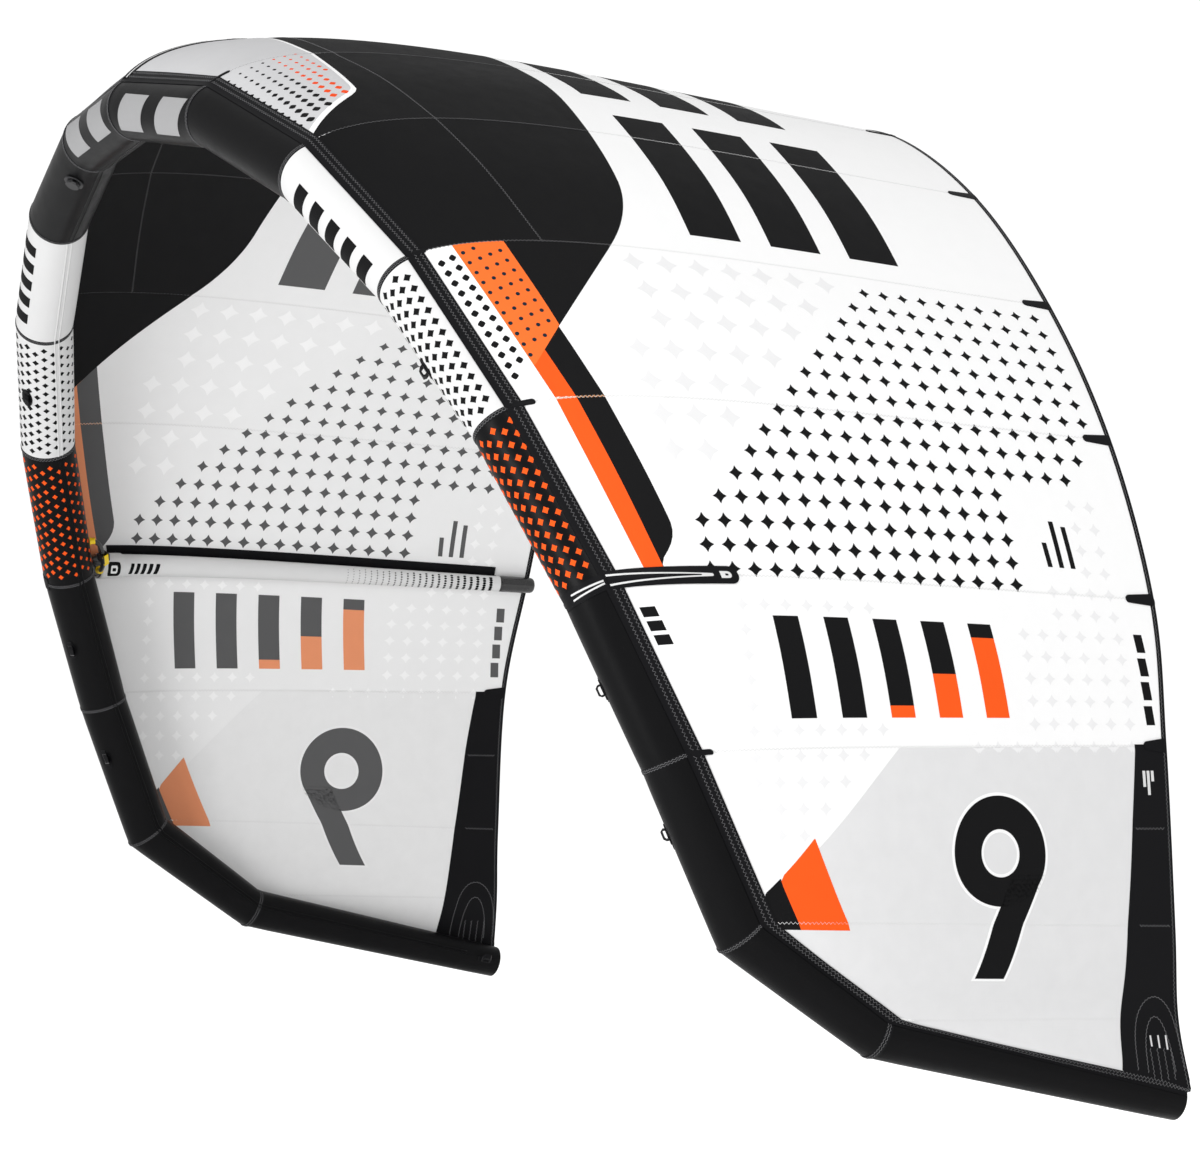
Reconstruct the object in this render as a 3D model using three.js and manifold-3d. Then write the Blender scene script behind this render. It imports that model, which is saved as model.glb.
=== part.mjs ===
// Inflatable kite for kitesurfing, in millimetres, as it flies: +X along the span, +Y from the
// leading edge to the trailing edge, +Z up. The origin is the leading edge tube's centre at mid span.
import * as THREE from "three";
import { mergeVertices } from "three/addons/utils/BufferGeometryUtils.js";
import Module from "manifold-3d";

const wasm = await Module();
wasm.setup();

// Leading edge: straight tube segments from mid span to the tip. Roll is the fall along the arc, sweep
// the turn towards the trailing edge, radius the tube's radius at the segment's outer end.
const midRadius = 70;
const tubeSegments = [
  { length: 402, roll: 6.4, sweep: 5.1, radius: 71 },
  { length: 435, roll: 20.5, sweep: 7.6, radius: 72 },
  { length: 428, roll: 35.0, sweep: 10.8, radius: 71 },
  { length: 407, roll: 49.2, sweep: 13.9, radius: 68 },
  { length: 398, roll: 62.6, sweep: 17.1, radius: 64 },
  { length: 369, roll: 74.8, sweep: 19.9, radius: 60.5 },
  { length: 375, roll: 83.3, sweep: 21.7, radius: 57 },
  { length: 368, roll: 87.1, sweep: 54.1, radius: 50.5 },
  { length: 745, roll: 88.0, sweep: 76.4, radius: 40.5 },
];

// Canopy profile at each seam from mid span out: seam is where it meets the tube, in degrees from the
// tube's outermost line towards the back; trail and drop place its trailing edge from the tube's
// centre, along Y and down; camber is its fullness against the one at mid span.
const canopySeams = [
  { seam: -24, trail: 1750, drop: 0, camber: 1 },
  { seam: -16, trail: 1697, drop: -14, camber: 0.8 },
  { seam: -15, trail: 1627, drop: 4, camber: 0.73 },
  { seam: -14, trail: 1535, drop: 24, camber: 0.61 },
  { seam: -12, trail: 1433, drop: 24, camber: 0.6 },
  { seam: 0, trail: 1314, drop: 26, camber: 0.6 },
  { seam: 15, trail: 1162, drop: -6, camber: 0.55 },
  { seam: 30, trail: 1020, drop: 24, camber: 0.5 },
  { seam: 38, trail: 723, drop: 0, camber: 0.3 },
  { seam: 34, trail: 7, drop: -24, camber: 0 },
];
const frontHandle = 0.153; // how far the profile's front curve reaches, as a share of its chord
const rearHandle = 0.506;
const frontAngle = 51; // the profile's slope at its two ends, at full camber
const rearAngle = 6.3;
const chordSteps = [0, 0.05, 0.085, 0.115, 0.14, 0.2, 0.28, 0.37, 0.47, 0.58, 0.69, 0.8, 0.9, 1];
const cloth = 2; // canopy thickness
const tubeWall = 1.5;
const seamGap = 0.5; // clearance between neighbouring sewn pieces
const fitGap = 0.9; // clearance under what sits on the tube, which is fullest at its mitred seams
const filmGap = 1.2; // clearance between a bladder and its sleeve
const tubeSides = 16;
const endWall = 4.5; // how far the sewn tip's inside stays behind its outer face
const bladderEnd = 9; // and how far the bladder stays behind it
const panelInset = 0.0012; // half the gap between two canopy panels, in seam numbers
const slopeStep = 0.01; // step over which the canopy's slopes are measured, in seam numbers and shares

// Struts: the seam each lies under, and where along the profile its cap and sleeve begin.
const strutPlaces = [
  { name: "middle", seam: 0, capFrom: 0.107, sleeveFrom: 0.14 },
  { name: "right", seam: 5, capFrom: 0.085, sleeveFrom: 0.14 },
  { name: "left", seam: -5, capFrom: 0.085, sleeveFrom: 0.14 },
];
const strut = {
  nose: 33, tail: 20, sides: 10, sleeveTo: 0.955, wall: 1.2, bladderInset: 0.012, capTo: 0.999,
};
// Rings of the two caps: share of the way to the cap's end, how much smaller, how far pushed back.
const tailCapRings = [[0, 0, seamGap], [0.5, 0, 0], [1, 0, 0], [1, 4, 9], [1, 12, 13]];
const noseCapRings = [[0, 0, -seamGap], [0.5, 2, 0], [0.8, 6, 0], [1, 15, 0]];
const hose = {
  radius: 6, along: 95, angle: 105, leave: 48, enter: 0.7, slant: -0.25, curveSegments: 4, steps: 12,
};
const clip = { length: 24, wall: 3, room: 1.8, clearance: 0.6, lever: 5, handle: 10, pinAt: -8, pin: 1.8 };
const valve = {
  segment: 1, share: 0.2, angle: -150, bore: 14.3, spigot: 17, flange: 24, depth: 24, hole: 18, sides: 24,
  throat: 9, rim: 3.2, runGap: 0.3, insertDepth: 18, insertTop: 8.5, grip: 17, lidTop: 12.2,
};
const capHinge = { x: -20.5, z: 10.2, pin: 1.2, hole: 1.6, ear: 2, lug: 6 };
const bridleSpots = [
  { name: "front", segment: 3, share: 0.5, angle: -122 },
  { name: "mid", segment: 5, share: 0.5, angle: -122 },
  { name: "back", segment: 6, share: 0.36, angle: -122 },
  { name: "rear_line", segment: 8, share: 0.93, angle: 180 },
];
const loopSize = {
  base: 22, patch: 2, leg: 13, eye: 9, shoulder: 8, height: 14, band: 4, width: 12, lift: 0.4, lean: 1,
};

const black = { color: 0x17181a, roughness: 0.62 };
const white = { color: 0xeeeeec, roughness: 0.6 };
const film = { color: 0xc9cdd0, roughness: 0.35 };
const yellow = { color: 0xe6b800, roughness: 0.5 };
const plastic = { color: 0x202124, roughness: 0.45 };

// Lengths of the sleeve between the middle and the tips: name, inner seam, outer seam.
const sleeveLengths = [
  ["white", 2, 3, white],
  ["dotted", 3, 4, white],
  ["orange", 4, 5, black],
  ["outer", 5, 7, black],
];

const rad = THREE.MathUtils.degToRad;
const kite = new THREE.Group();

function addMesh(name, geometry, finish, matrix = new THREE.Matrix4()) {
  const mesh = new THREE.Mesh(geometry, new THREE.MeshStandardMaterial({ ...finish, metalness: 0 }));
  mesh.name = name;
  mesh.applyMatrix4(matrix);
  kite.add(mesh);
  return mesh;
}

// Triangles between rings of equal point counts. The two ends are filled as a fan from one corner,
// or as a strip between a sliver's two long edges, or joined to each other where the rings close.
function loft(rings, ends = "fan") {
  const sides = rings[0].length;
  const points = rings.flat();
  const faces = [];
  const spans = ends === "closed" ? rings.length : rings.length - 1;
  for (let i = 0; i < spans; i += 1) {
    const near = i * sides;
    const far = ((i + 1) % rings.length) * sides;
    for (let j = 0; j < sides; j += 1) {
      const next = (j + 1) % sides;
      faces.push(near + j, far + j, far + next, near + j, far + next, near + next);
    }
  }
  const last = (rings.length - 1) * sides;
  const fill = (a, b, c) => faces.push(a, b, c, last + a, last + c, last + b);
  for (let j = 1; ends === "fan" && j < sides - 1; j += 1) fill(0, j, j + 1);
  for (let j = 0; ends === "strip" && j < sides / 2 - 1; j += 1) {
    fill(j, j + 1, sides - 2 - j);
    fill(j, sides - 2 - j, sides - 1 - j);
  }
  const geometry = new THREE.BufferGeometry();
  const numbers = points.flatMap((p) => [p.x, p.y, p.z]);
  geometry.setAttribute("position", new THREE.Float32BufferAttribute(numbers, 3));
  geometry.setIndex(faces);
  return facingOut(geometry);
}

// Turns every triangle over if the closed surface would otherwise face inwards.
function facingOut(geometry) {
  const at = geometry.getAttribute("position");
  const order = geometry.getIndex().array;
  const [a, b, c] = [new THREE.Vector3(), new THREE.Vector3(), new THREE.Vector3()];
  let volume = 0;
  for (let i = 0; i < order.length; i += 3) {
    a.fromBufferAttribute(at, order[i]);
    b.fromBufferAttribute(at, order[i + 1]);
    c.fromBufferAttribute(at, order[i + 2]);
    volume += a.dot(b.cross(c));
  }
  if (volume < 0) {
    for (let i = 0; i < order.length; i += 3) {
      [order[i + 1], order[i + 2]] = [order[i + 2], order[i + 1]];
    }
  }
  return geometry;
}

function toSolid(geometry) {
  const plain = geometry.clone();
  plain.deleteAttribute("normal");
  plain.deleteAttribute("uv");
  const merged = mergeVertices(plain, 1e-4);
  return new wasm.Manifold(new wasm.Mesh({
    numProp: 3,
    vertProperties: new Float32Array(merged.getAttribute("position").array),
    triVerts: new Uint32Array(merged.getIndex().array),
  }));
}

function toGeometry(solid) {
  const mesh = solid.getMesh();
  const geometry = new THREE.BufferGeometry();
  geometry.setAttribute("position", new THREE.BufferAttribute(mesh.vertProperties, 3));
  geometry.setIndex(new THREE.BufferAttribute(mesh.triVerts, 1));
  return geometry;
}

// Seam stations of the right half: centre, outward normal, back direction, tangent and radius.
function tubeStations() {
  const centres = [new THREE.Vector3()];
  const directions = tubeSegments.map(({ roll, sweep }) => new THREE.Vector3(
    Math.cos(rad(sweep)) * Math.cos(rad(roll)),
    Math.sin(rad(sweep)),
    -Math.cos(rad(sweep)) * Math.sin(rad(roll)),
  ));
  tubeSegments.forEach(({ length }, i) => {
    centres.push(centres[i].clone().addScaledVector(directions[i], length));
  });
  return centres.map((centre, i) => {
    const after = directions[Math.min(i, directions.length - 1)];
    const before = i === 0 ? directions[0].clone().setX(-directions[0].x).negate() : directions[i - 1];
    const tangent = before.clone().add(after).normalize();
    const out = new THREE.Vector3(-tangent.z, 0, tangent.x).normalize();
    const back = out.clone().cross(tangent);
    const bend = after.clone().sub(before);
    const stretch = 1 / Math.max(before.dot(tangent), 0.5) - 1;
    const radius = i === 0 ? midRadius : tubeSegments[i - 1].radius;
    return { centre, out, back, tangent, radius, bend: bend.normalize(), stretch };
  });
}
const stations = tubeStations();

// Point on a mitred seam ring, at an angle from its outermost line towards the back.
function ringPoint({ centre, out, back, bend, stretch }, radius, angle) {
  const arm = out.clone().multiplyScalar(Math.cos(angle)).addScaledVector(back, Math.sin(angle));
  arm.addScaledVector(bend, arm.dot(bend) * stretch);
  return centre.clone().addScaledVector(arm, radius);
}

function mirrored(points) {
  return points.map((p) => new THREE.Vector3(-p.x, p.y, p.z));
}

function seamRing(station, inset, shift = 0) {
  const ring = [];
  for (let j = 0; j < tubeSides; j += 1) {
    const point = ringPoint(station, station.radius - inset, (2 * Math.PI * j) / tubeSides);
    ring.push(point.addScaledVector(station.tangent, shift));
  }
  return ring;
}

// Sleeve panels between two seams: the outer rings outwards, then the inner rings back.
function sleeveRings(from, to, capped) {
  const outer = [];
  const inner = [];
  for (let k = from; k <= to; k += 1) {
    let shift = 0;
    if (k === from && from > 0) shift = seamGap / 2;
    if (k === to) shift = -seamGap / 2;
    outer.push(seamRing(stations[k], 0, shift));
    inner.unshift(seamRing(stations[k], tubeWall, k === to && capped ? -endWall : shift));
  }
  return [outer, inner];
}

function sleeveGeometry(from, to) {
  const [outer, inner] = sleeveRings(from, to, false);
  return loft([...outer, ...inner], "closed");
}

// The last sleeve panel has its end sewn shut.
function tipSleeveGeometry(from, to) {
  const [outer, inner] = sleeveRings(from, to, true);
  return loft([...outer, ...inner].reverse());
}

function sleeveAcrossMiddle(to) {
  const [outer, inner] = sleeveRings(0, to, false);
  const leftOuter = outer.slice(1).map(mirrored).reverse();
  const leftInner = inner.slice(0, -1).map(mirrored).reverse();
  return loft([...leftOuter, ...outer, ...inner, ...leftInner], "closed");
}

function bothSides(name, geometry, finish) {
  addMesh(`${name}_right`, geometry, finish);
  addMesh(`${name}_left`, facingOut(geometry.clone().scale(-1, 1, 1)), finish);
}

// Frame on the leading edge tube's surface: its Z leaves the tube, its X runs along the tube.
function surfaceFrame(segment, share, angle, side, lift = fitGap) {
  const a = stations[segment];
  const b = stations[segment + 1];
  const along = b.centre.clone().sub(a.centre).normalize();
  const axis = a.centre.clone().lerp(b.centre, share);
  const radius = THREE.MathUtils.lerp(a.radius, b.radius, share) + lift;
  const out = new THREE.Vector3(-along.z, 0, along.x).normalize();
  const back = out.clone().cross(along);
  const normal = out.multiplyScalar(Math.cos(rad(angle))).addScaledVector(back, Math.sin(rad(angle)));
  const origin = axis.addScaledVector(normal, radius);
  for (const vector of [along, normal, origin]) vector.x *= side;
  const across = normal.clone().cross(along);
  return new THREE.Matrix4().makeBasis(along, across, normal).setPosition(origin);
}

const valveFrame = surfaceFrame(valve.segment, valve.share, valve.angle, -1);

function cylinderAt(matrix, radius, low, high, sides) {
  const geometry = new THREE.CylinderGeometry(radius, radius, high - low, sides).rotateX(Math.PI / 2);
  return toSolid(geometry.translate(0, 0, (low + high) / 2).applyMatrix4(matrix));
}

function makeLeadingEdge() {
  const valveHole = cylinderAt(valveFrame, valve.hole, -30, 10, 16);
  const middle = toSolid(sleeveAcrossMiddle(sleeveLengths[0][1])).subtract(valveHole);
  addMesh("leading_edge_sleeve_middle", toGeometry(middle), black);
  for (const [name, from, to, finish] of sleeveLengths) {
    bothSides(`leading_edge_sleeve_${name}`, sleeveGeometry(from, to), finish);
  }
  bothSides("leading_edge_sleeve_tip", tipSleeveGeometry(7, 9), black);
}

function makeLeadingEdgeBladder() {
  const last = stations.length - 1;
  const rings = stations.map((station, k) => (
    seamRing(station, tubeWall + filmGap, k === last ? -bladderEnd : 0)
  ));
  const left = rings.slice(1).map(mirrored).reverse();
  const pocket = cylinderAt(valveFrame, valve.hole + 1, -valve.depth - 6, 10, 16);
  addMesh("leading_edge_bladder", toGeometry(toSolid(loft([...left, ...rings])).subtract(pocket)), film);
}

// Canopy profile at a seam, as the four control points of one cubic curve.
function profileControls(station, { seam, trail, drop, camber }) {
  const start = ringPoint(station, station.radius + filmGap, rad(seam));
  const end = station.centre.clone().add(new THREE.Vector3(0, trail, -drop));
  if (station === stations[stations.length - 1]) end.x = start.x;
  const chord = end.clone().sub(start);
  const length = chord.length();
  const ahead = chord.clone().normalize();
  const up = station.out.clone().addScaledVector(ahead, -station.out.dot(ahead)).normalize();
  const handle = (reach, angle, sign) => ahead.clone().multiplyScalar(sign * Math.cos(rad(angle)))
    .addScaledVector(up, Math.sin(rad(angle))).multiplyScalar(reach * length);
  const first = start.clone().add(handle(frontHandle, frontAngle * camber, 1));
  const second = end.clone().add(handle(rearHandle, rearAngle * camber, -1));
  return [start, first, second, end];
}

// The profiles change from seam to seam in straight lines along the tube and smoothly behind it.
function canopyControlCurves() {
  const rows = stations.map((station, k) => profileControls(station, canopySeams[k]));
  const startLine = rows.map((row) => row[0]);
  const smooth = [1, 2, 3].map((i) => {
    const line = rows.map((row) => row[i]);
    const whole = [...mirrored(line.slice(1)).reverse(), ...line];
    return new THREE.CatmullRomCurve3(whole, false, "catmullrom", 0.5);
  });
  return { startLine, smooth };
}
const controls = canopyControlCurves();

// Inner face of the canopy at seam number u (negative on the left) and share v of the profile.
function canopyPoint(u, v) {
  const last = stations.length - 1;
  const side = u < 0 ? -1 : 1;
  const low = Math.min(Math.floor(Math.abs(u)), last - 1);
  const start = controls.startLine[low].clone().lerp(controls.startLine[low + 1], Math.abs(u) - low);
  start.x *= side;
  const [first, second, end] = controls.smooth.map((curve) => curve.getPoint((u + last) / (2 * last)));
  return new THREE.CubicBezierCurve3(start, first, second, end).getPoint(v);
}

function canopyNormal(u, v) {
  const step = slopeStep;
  const last = stations.length - 1;
  const along = canopyPoint(Math.min(u + step, last), v).sub(canopyPoint(Math.max(u - step, -last), v));
  const ahead = canopyPoint(u, Math.min(v + step, 1)).sub(canopyPoint(u, Math.max(v - step, 0)));
  return along.cross(ahead).normalize();
}

// A canopy panel: a closed shell of one cloth's thickness over seams uFrom to uTo.
function canopyPanel(uFrom, uTo, cells) {
  const inset = panelInset * Math.sign(uTo - uFrom);
  const rings = [];
  for (let i = 0; i <= cells; i += 1) {
    const u = THREE.MathUtils.lerp(uFrom + inset, uTo - inset, i / cells);
    const inner = chordSteps.map((v) => canopyPoint(u, v));
    const outer = chordSteps.map((v, j) => inner[j].clone().addScaledVector(canopyNormal(u, v), cloth));
    rings.push([...inner, ...outer.reverse()]);
  }
  return loft(rings, "strip");
}

function makeCanopy() {
  addMesh("canopy_panel_middle", canopyPanel(-1, 1, 4), black);
  for (let k = 1; k <= 6; k += 1) {
    const finish = k < 3 ? black : white;
    bothSides(`canopy_panel_${k}`, canopyPanel(k, k + 1, 2), finish);
  }
  bothSides("canopy_panel_tip", canopyPanel(7, 9, 4), white);
}

// Ring of the strut whose top touches the canopy's inner face at u and v.
function strutRing(u, v, inset, shift = 0) {
  const radius = THREE.MathUtils.lerp(strut.nose, strut.tail, v);
  const normal = canopyNormal(u, v);
  const step = slopeStep;
  const ahead = canopyPoint(u, Math.min(v + step, 1)).sub(canopyPoint(u, Math.max(v - step, 0))).normalize();
  const side = normal.clone().cross(ahead);
  const centre = canopyPoint(u, v).addScaledVector(normal, -radius - seamGap).addScaledVector(ahead, shift);
  const ring = [];
  for (let j = 0; j < strut.sides; j += 1) {
    const angle = (2 * Math.PI * (j + 0.5)) / strut.sides;
    const reach = Math.max(radius - inset, 1);
    ring.push(centre.clone().addScaledVector(normal, reach * Math.cos(angle))
      .addScaledVector(side, reach * Math.sin(angle)));
  }
  return ring;
}

function strutSteps(from, to) {
  return [from, ...chordSteps.filter((v) => v > from + 0.02 && v < to - 0.02), to];
}

function makeStrut({ name, seam: u, capFrom, sleeveFrom }) {
  const { sleeveTo } = strut;
  const steps = strutSteps(sleeveFrom, sleeveTo);
  const outer = steps.map((v) => strutRing(u, v, 0));
  const inner = steps.map((v) => strutRing(u, v, strut.wall)).reverse();
  addMesh(`strut_sleeve_${name}`, loft([...outer, ...inner], "closed"), white);
  const filled = strutSteps(sleeveFrom + strut.bladderInset, sleeveTo - strut.bladderInset);
  addMesh(`strut_bladder_${name}`, loft(filled.map((v) => strutRing(u, v, strut.wall + filmGap))), film);
  addMesh(`strut_tail_cap_${name}`, loft(tailCapRings.map(([share, inset, shift]) => (
    strutRing(u, THREE.MathUtils.lerp(sleeveTo, strut.capTo, share), inset, shift)
  ))), black);
  addMesh(`strut_nose_cap_${name}`, loft(noseCapRings.map(([share, inset, shift]) => (
    strutRing(u, THREE.MathUtils.lerp(sleeveFrom, capFrom, share), inset, shift)
  )).reverse()), black);
}

function boxSolid(xRange, yRange, zRange) {
  const [size, middle] = [new THREE.Vector3(), new THREE.Vector3()];
  const box = new THREE.Box3(
    new THREE.Vector3(xRange[0], yRange[0], zRange[0]),
    new THREE.Vector3(xRange[1], yRange[1], zRange[1]),
  );
  box.getSize(size);
  box.getCenter(middle);
  return toSolid(new THREE.BoxGeometry(size.x, size.y, size.z).translate(middle.x, middle.y, middle.z));
}

function pinSolid(x, z, radius, halfWidth) {
  const geometry = new THREE.CylinderGeometry(radius, radius, 2 * halfWidth, 12);
  return toSolid(geometry.translate(x, 0, z));
}

function turnedSolid(profile, sides) {
  const outline = profile.map(([r, z]) => new THREE.Vector2(r, z));
  const turned = new THREE.LatheGeometry(outline, sides).rotateX(Math.PI / 2);
  return toSolid(facingOut(mergeVertices(turned, 1e-4)));
}

// Centre line of the hose that fills a strut: out of the leading edge, over, and into the nose cap.
function hosePath({ seam: u, capFrom, sleeveFrom }) {
  const side = u < 0 ? -1 : 1;
  const segment = Math.max(Math.abs(u) - 1, 0);
  const share = u === 0 ? hose.along / tubeSegments[0].length : 1 - hose.along / tubeSegments[segment].length;
  const start = surfaceFrame(segment, share, hose.angle, side, fitGap + seamGap);
  const leave = new THREE.Vector3().setFromMatrixColumn(start, 2);
  const from = new THREE.Vector3().setFromMatrixPosition(start);
  const v = THREE.MathUtils.lerp(capFrom, sleeveFrom, hose.enter);
  const inwards = canopyNormal(u, v).negate();
  const reach = 2 * THREE.MathUtils.lerp(strut.nose, strut.tail, v) - 1 + 3 * seamGap;
  const to = canopyPoint(u, v).addScaledVector(inwards, reach);
  const back = canopyPoint(u, v + slopeStep).sub(canopyPoint(u, v)).normalize();
  const arrive = inwards.clone().addScaledVector(back, hose.slant).normalize();
  return new THREE.CubicBezierCurve3(
    from, from.clone().addScaledVector(leave, hose.leave),
    to.clone().addScaledVector(arrive, hose.leave), to,
  );
}

function makeHose(place) {
  const path = hosePath(place);
  const section = new THREE.Shape();
  section.absarc(0, 0, hose.radius, 0, 2 * Math.PI);
  const tube = new THREE.ExtrudeGeometry(section, {
    extrudePath: path, steps: hose.steps, curveSegments: hose.curveSegments, bevelEnabled: false,
  });
  addMesh(`strut_hose_${place.name}`, toGeometry(toSolid(tube)), black);
  makeClip(place.name, path, place.seam);
}

// Pinch clip on the hose: a channel that the hose lies in, and a lever that closes over it.
function makeClip(name, path, u) {
  const along = path.getTangent(0.5);
  const up = canopyNormal(u, 0.05).negate();
  up.addScaledVector(along, -up.dot(along)).normalize();
  const frame = new THREE.Matrix4().makeBasis(along, up.clone().cross(along), up);
  frame.setPosition(path.getPoint(0.5));
  const inside = hose.radius + clip.room;
  const outside = inside + clip.wall;
  const half = clip.length / 2;
  const pinZ = inside + clip.lever / 2;
  const channel = boxSolid([-half, half], [-outside, outside], [-outside, pinZ + clip.lever / 2 + 1])
    .subtract(boxSolid([-half - 1, half + 1], [-inside, inside], [-inside, pinZ + clip.lever]))
    .subtract(pinSolid(clip.pinAt, pinZ, clip.pin + clip.clearance, outside + 1));
  const leverHalf = inside - clip.clearance;
  const leverSpan = [clip.pinAt, half + clip.handle];
  const lever = boxSolid(leverSpan, [-leverHalf, leverHalf], [inside, inside + clip.lever])
    .add(pinSolid(clip.pinAt, pinZ, clip.lever / 2, leverHalf))
    .add(pinSolid(clip.pinAt, pinZ, clip.pin, outside - clip.clearance));
  addMesh(`hose_clip_${name}`, toGeometry(channel), plastic, frame);
  addMesh(`hose_clip_lever_${name}`, toGeometry(lever), yellow, frame);
}

function makeValve() {
  const { bore, spigot, flange, depth, sides, throat, rim, runGap } = valve;
  const { insertDepth, insertTop, grip, lidTop } = valve;
  const base = [[bore, -depth], [spigot, -depth], [spigot, 0.6], [flange, 0.6], [flange, 2],
    [flange - 1.5, rim], [bore, rim], [bore, -depth]];
  addMesh("valve_base", toGeometry(turnedSolid(base, sides)), plastic, valveFrame);
  const seat = rim + runGap + 0.1;
  const insert = [[throat, -insertDepth], [bore - runGap, -insertDepth], [bore - runGap, seat], [grip, seat],
    [grip, insertTop - 1], [grip - 1, insertTop], [throat, insertTop], [throat, -insertDepth]];
  const { x, z, pin, hole, ear, lug } = capHinge;
  const inner = lug / 2 + 0.4;
  let body = turnedSolid(insert, sides);
  for (const side of [-1, 1]) {
    const span = [side * inner, side * (inner + ear)].sort((a, b) => a - b);
    body = body.add(boxSolid([x - 2.5, -14], span, [4, insertTop - 1]));
    body = body.add(boxSolid([x - 2.5, x + 2.5], span, [4, 12.6]));
  }
  addMesh("valve_insert", toGeometry(body.subtract(pinSolid(x, z, hole, 10))), plastic, valveFrame);
  const plug = throat - 0.8;
  const lid = [[0, insertTop - 3], [plug, insertTop - 3], [plug, insertTop + 0.5], [grip, insertTop + 0.5],
    [grip, lidTop - 1.2], [grip - 1.5, lidTop], [0, lidTop]];
  const cap = turnedSolid(lid, sides)
    .add(boxSolid([x - 1.5, -14], [-lug / 2, lug / 2], [9, 11.4]))
    .add(pinSolid(x, z, pin, inner + ear - 0.2));
  addMesh("valve_cap", toGeometry(cap), plastic, valveFrame);
}

// Sewn webbing loop on a flat patch, open across the tube; above the patch it leans to one side.
function loopGeometry(side) {
  const { base, patch, leg, eye, shoulder, height, band, width, lift, lean } = loopSize;
  const outline = [[-base, lift], [base, lift], [base, patch], [leg, patch], [leg, shoulder],
    [eye - 1, height], [1 - eye, height], [-leg, shoulder], [-leg, patch], [-base, patch]];
  const shape = new THREE.Shape(outline.map(([x, z]) => new THREE.Vector2(x, z)));
  const top = height - band;
  const eyelet = [[-eye, patch + 1], [-eye, shoulder], [3 - eye, top], [eye - 3, top],
    [eye, shoulder], [eye, patch + 1]];
  shape.holes.push(new THREE.Path(eyelet.map(([x, z]) => new THREE.Vector2(x, z))));
  const loop = new THREE.ExtrudeGeometry(shape, { depth: width, bevelEnabled: false });
  loop.translate(0, 0, -width / 2).rotateX(Math.PI / 2);
  const at = loop.getAttribute("position");
  for (let i = 0; i < at.count; i += 1) {
    at.setY(i, at.getY(i) - side * lean * Math.max(at.getZ(i) - patch, 0));
  }
  return toGeometry(toSolid(loop));
}

function makeBridleLoops() {
  for (const { name, segment, share, angle } of bridleSpots) {
    for (const [sideName, side] of [["right", 1], ["left", -1]]) {
      const frame = surfaceFrame(segment, share, angle, side);
      addMesh(`bridle_loop_${name}_${sideName}`, loopGeometry(side), black, frame);
    }
  }
}

makeLeadingEdge();
makeLeadingEdgeBladder();
makeCanopy();
for (const place of strutPlaces) {
  makeStrut(place);
  makeHose(place);
}
makeValve();
makeBridleLoops();

export default kite;
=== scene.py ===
import math

import bpy
import numpy as np
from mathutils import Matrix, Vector


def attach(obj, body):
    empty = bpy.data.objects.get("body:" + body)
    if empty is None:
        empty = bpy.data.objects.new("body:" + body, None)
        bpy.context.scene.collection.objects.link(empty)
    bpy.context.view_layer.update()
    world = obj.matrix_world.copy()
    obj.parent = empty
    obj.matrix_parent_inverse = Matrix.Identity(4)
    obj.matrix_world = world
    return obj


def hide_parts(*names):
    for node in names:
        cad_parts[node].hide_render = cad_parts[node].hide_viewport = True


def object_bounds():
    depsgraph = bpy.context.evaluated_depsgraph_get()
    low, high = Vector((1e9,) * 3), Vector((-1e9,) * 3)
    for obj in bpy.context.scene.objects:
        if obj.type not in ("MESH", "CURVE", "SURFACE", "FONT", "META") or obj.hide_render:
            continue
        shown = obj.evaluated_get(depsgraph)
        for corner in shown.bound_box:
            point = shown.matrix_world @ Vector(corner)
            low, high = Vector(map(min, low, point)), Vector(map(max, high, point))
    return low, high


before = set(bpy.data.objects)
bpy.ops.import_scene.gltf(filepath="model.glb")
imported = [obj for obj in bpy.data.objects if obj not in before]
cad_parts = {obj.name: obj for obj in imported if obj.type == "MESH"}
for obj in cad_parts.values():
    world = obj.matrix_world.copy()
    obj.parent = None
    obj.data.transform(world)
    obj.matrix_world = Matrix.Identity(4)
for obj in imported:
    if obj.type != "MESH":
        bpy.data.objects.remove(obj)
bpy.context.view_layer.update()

# ---- the sail's shape

sail = {
    "midRadius": 0.070,
    # length, roll, sweep and outer radius of each straight tube segment
    "tube": [
        (0.402, 6.4, 5.1, 0.071), (0.435, 20.5, 7.6, 0.072), (0.428, 35.0, 10.8, 0.071),
        (0.407, 49.2, 13.9, 0.068), (0.398, 62.6, 17.1, 0.064), (0.369, 74.8, 19.9, 0.0605),
        (0.375, 83.3, 21.7, 0.057), (0.368, 87.1, 54.1, 0.0505), (0.745, 88.0, 76.4, 0.0405),
    ],
    # where the canopy meets the tube in degrees, its trailing edge behind and below, its camber
    "canopy": [
        (-24, 1.750, 0.0, 1.0), (-16, 1.697, -0.014, 0.8), (-15, 1.627, 0.004, 0.73),
        (-14, 1.535, 0.024, 0.61), (-12, 1.433, 0.024, 0.6), (0, 1.314, 0.026, 0.6),
        (15, 1.162, -0.006, 0.55), (30, 1.020, 0.024, 0.5), (38, 0.723, 0.0, 0.3),
        (34, 0.007, -0.024, 0.0),
    ],
    "frontHandle": 0.153, "rearHandle": 0.506, "frontAngle": 51, "rearAngle": 6.3,
    "seamGap": 0.0005, "fitGap": 0.0009, "filmGap": 0.0012,
    "clothMiddle": 0.001, "halfCloth": 0.0005, "billow": 0.005, "tubeSwell": 0.0007,
}
lastSeam = len(sail["tube"])
mirror = np.array([-1.0, 1.0, 1.0])


def unit(vectors):
    return vectors / np.maximum(np.linalg.norm(vectors, axis=-1, keepdims=True), 1e-12)


def dot(a, b):
    return np.sum(a * b, axis=-1, keepdims=True)


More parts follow.
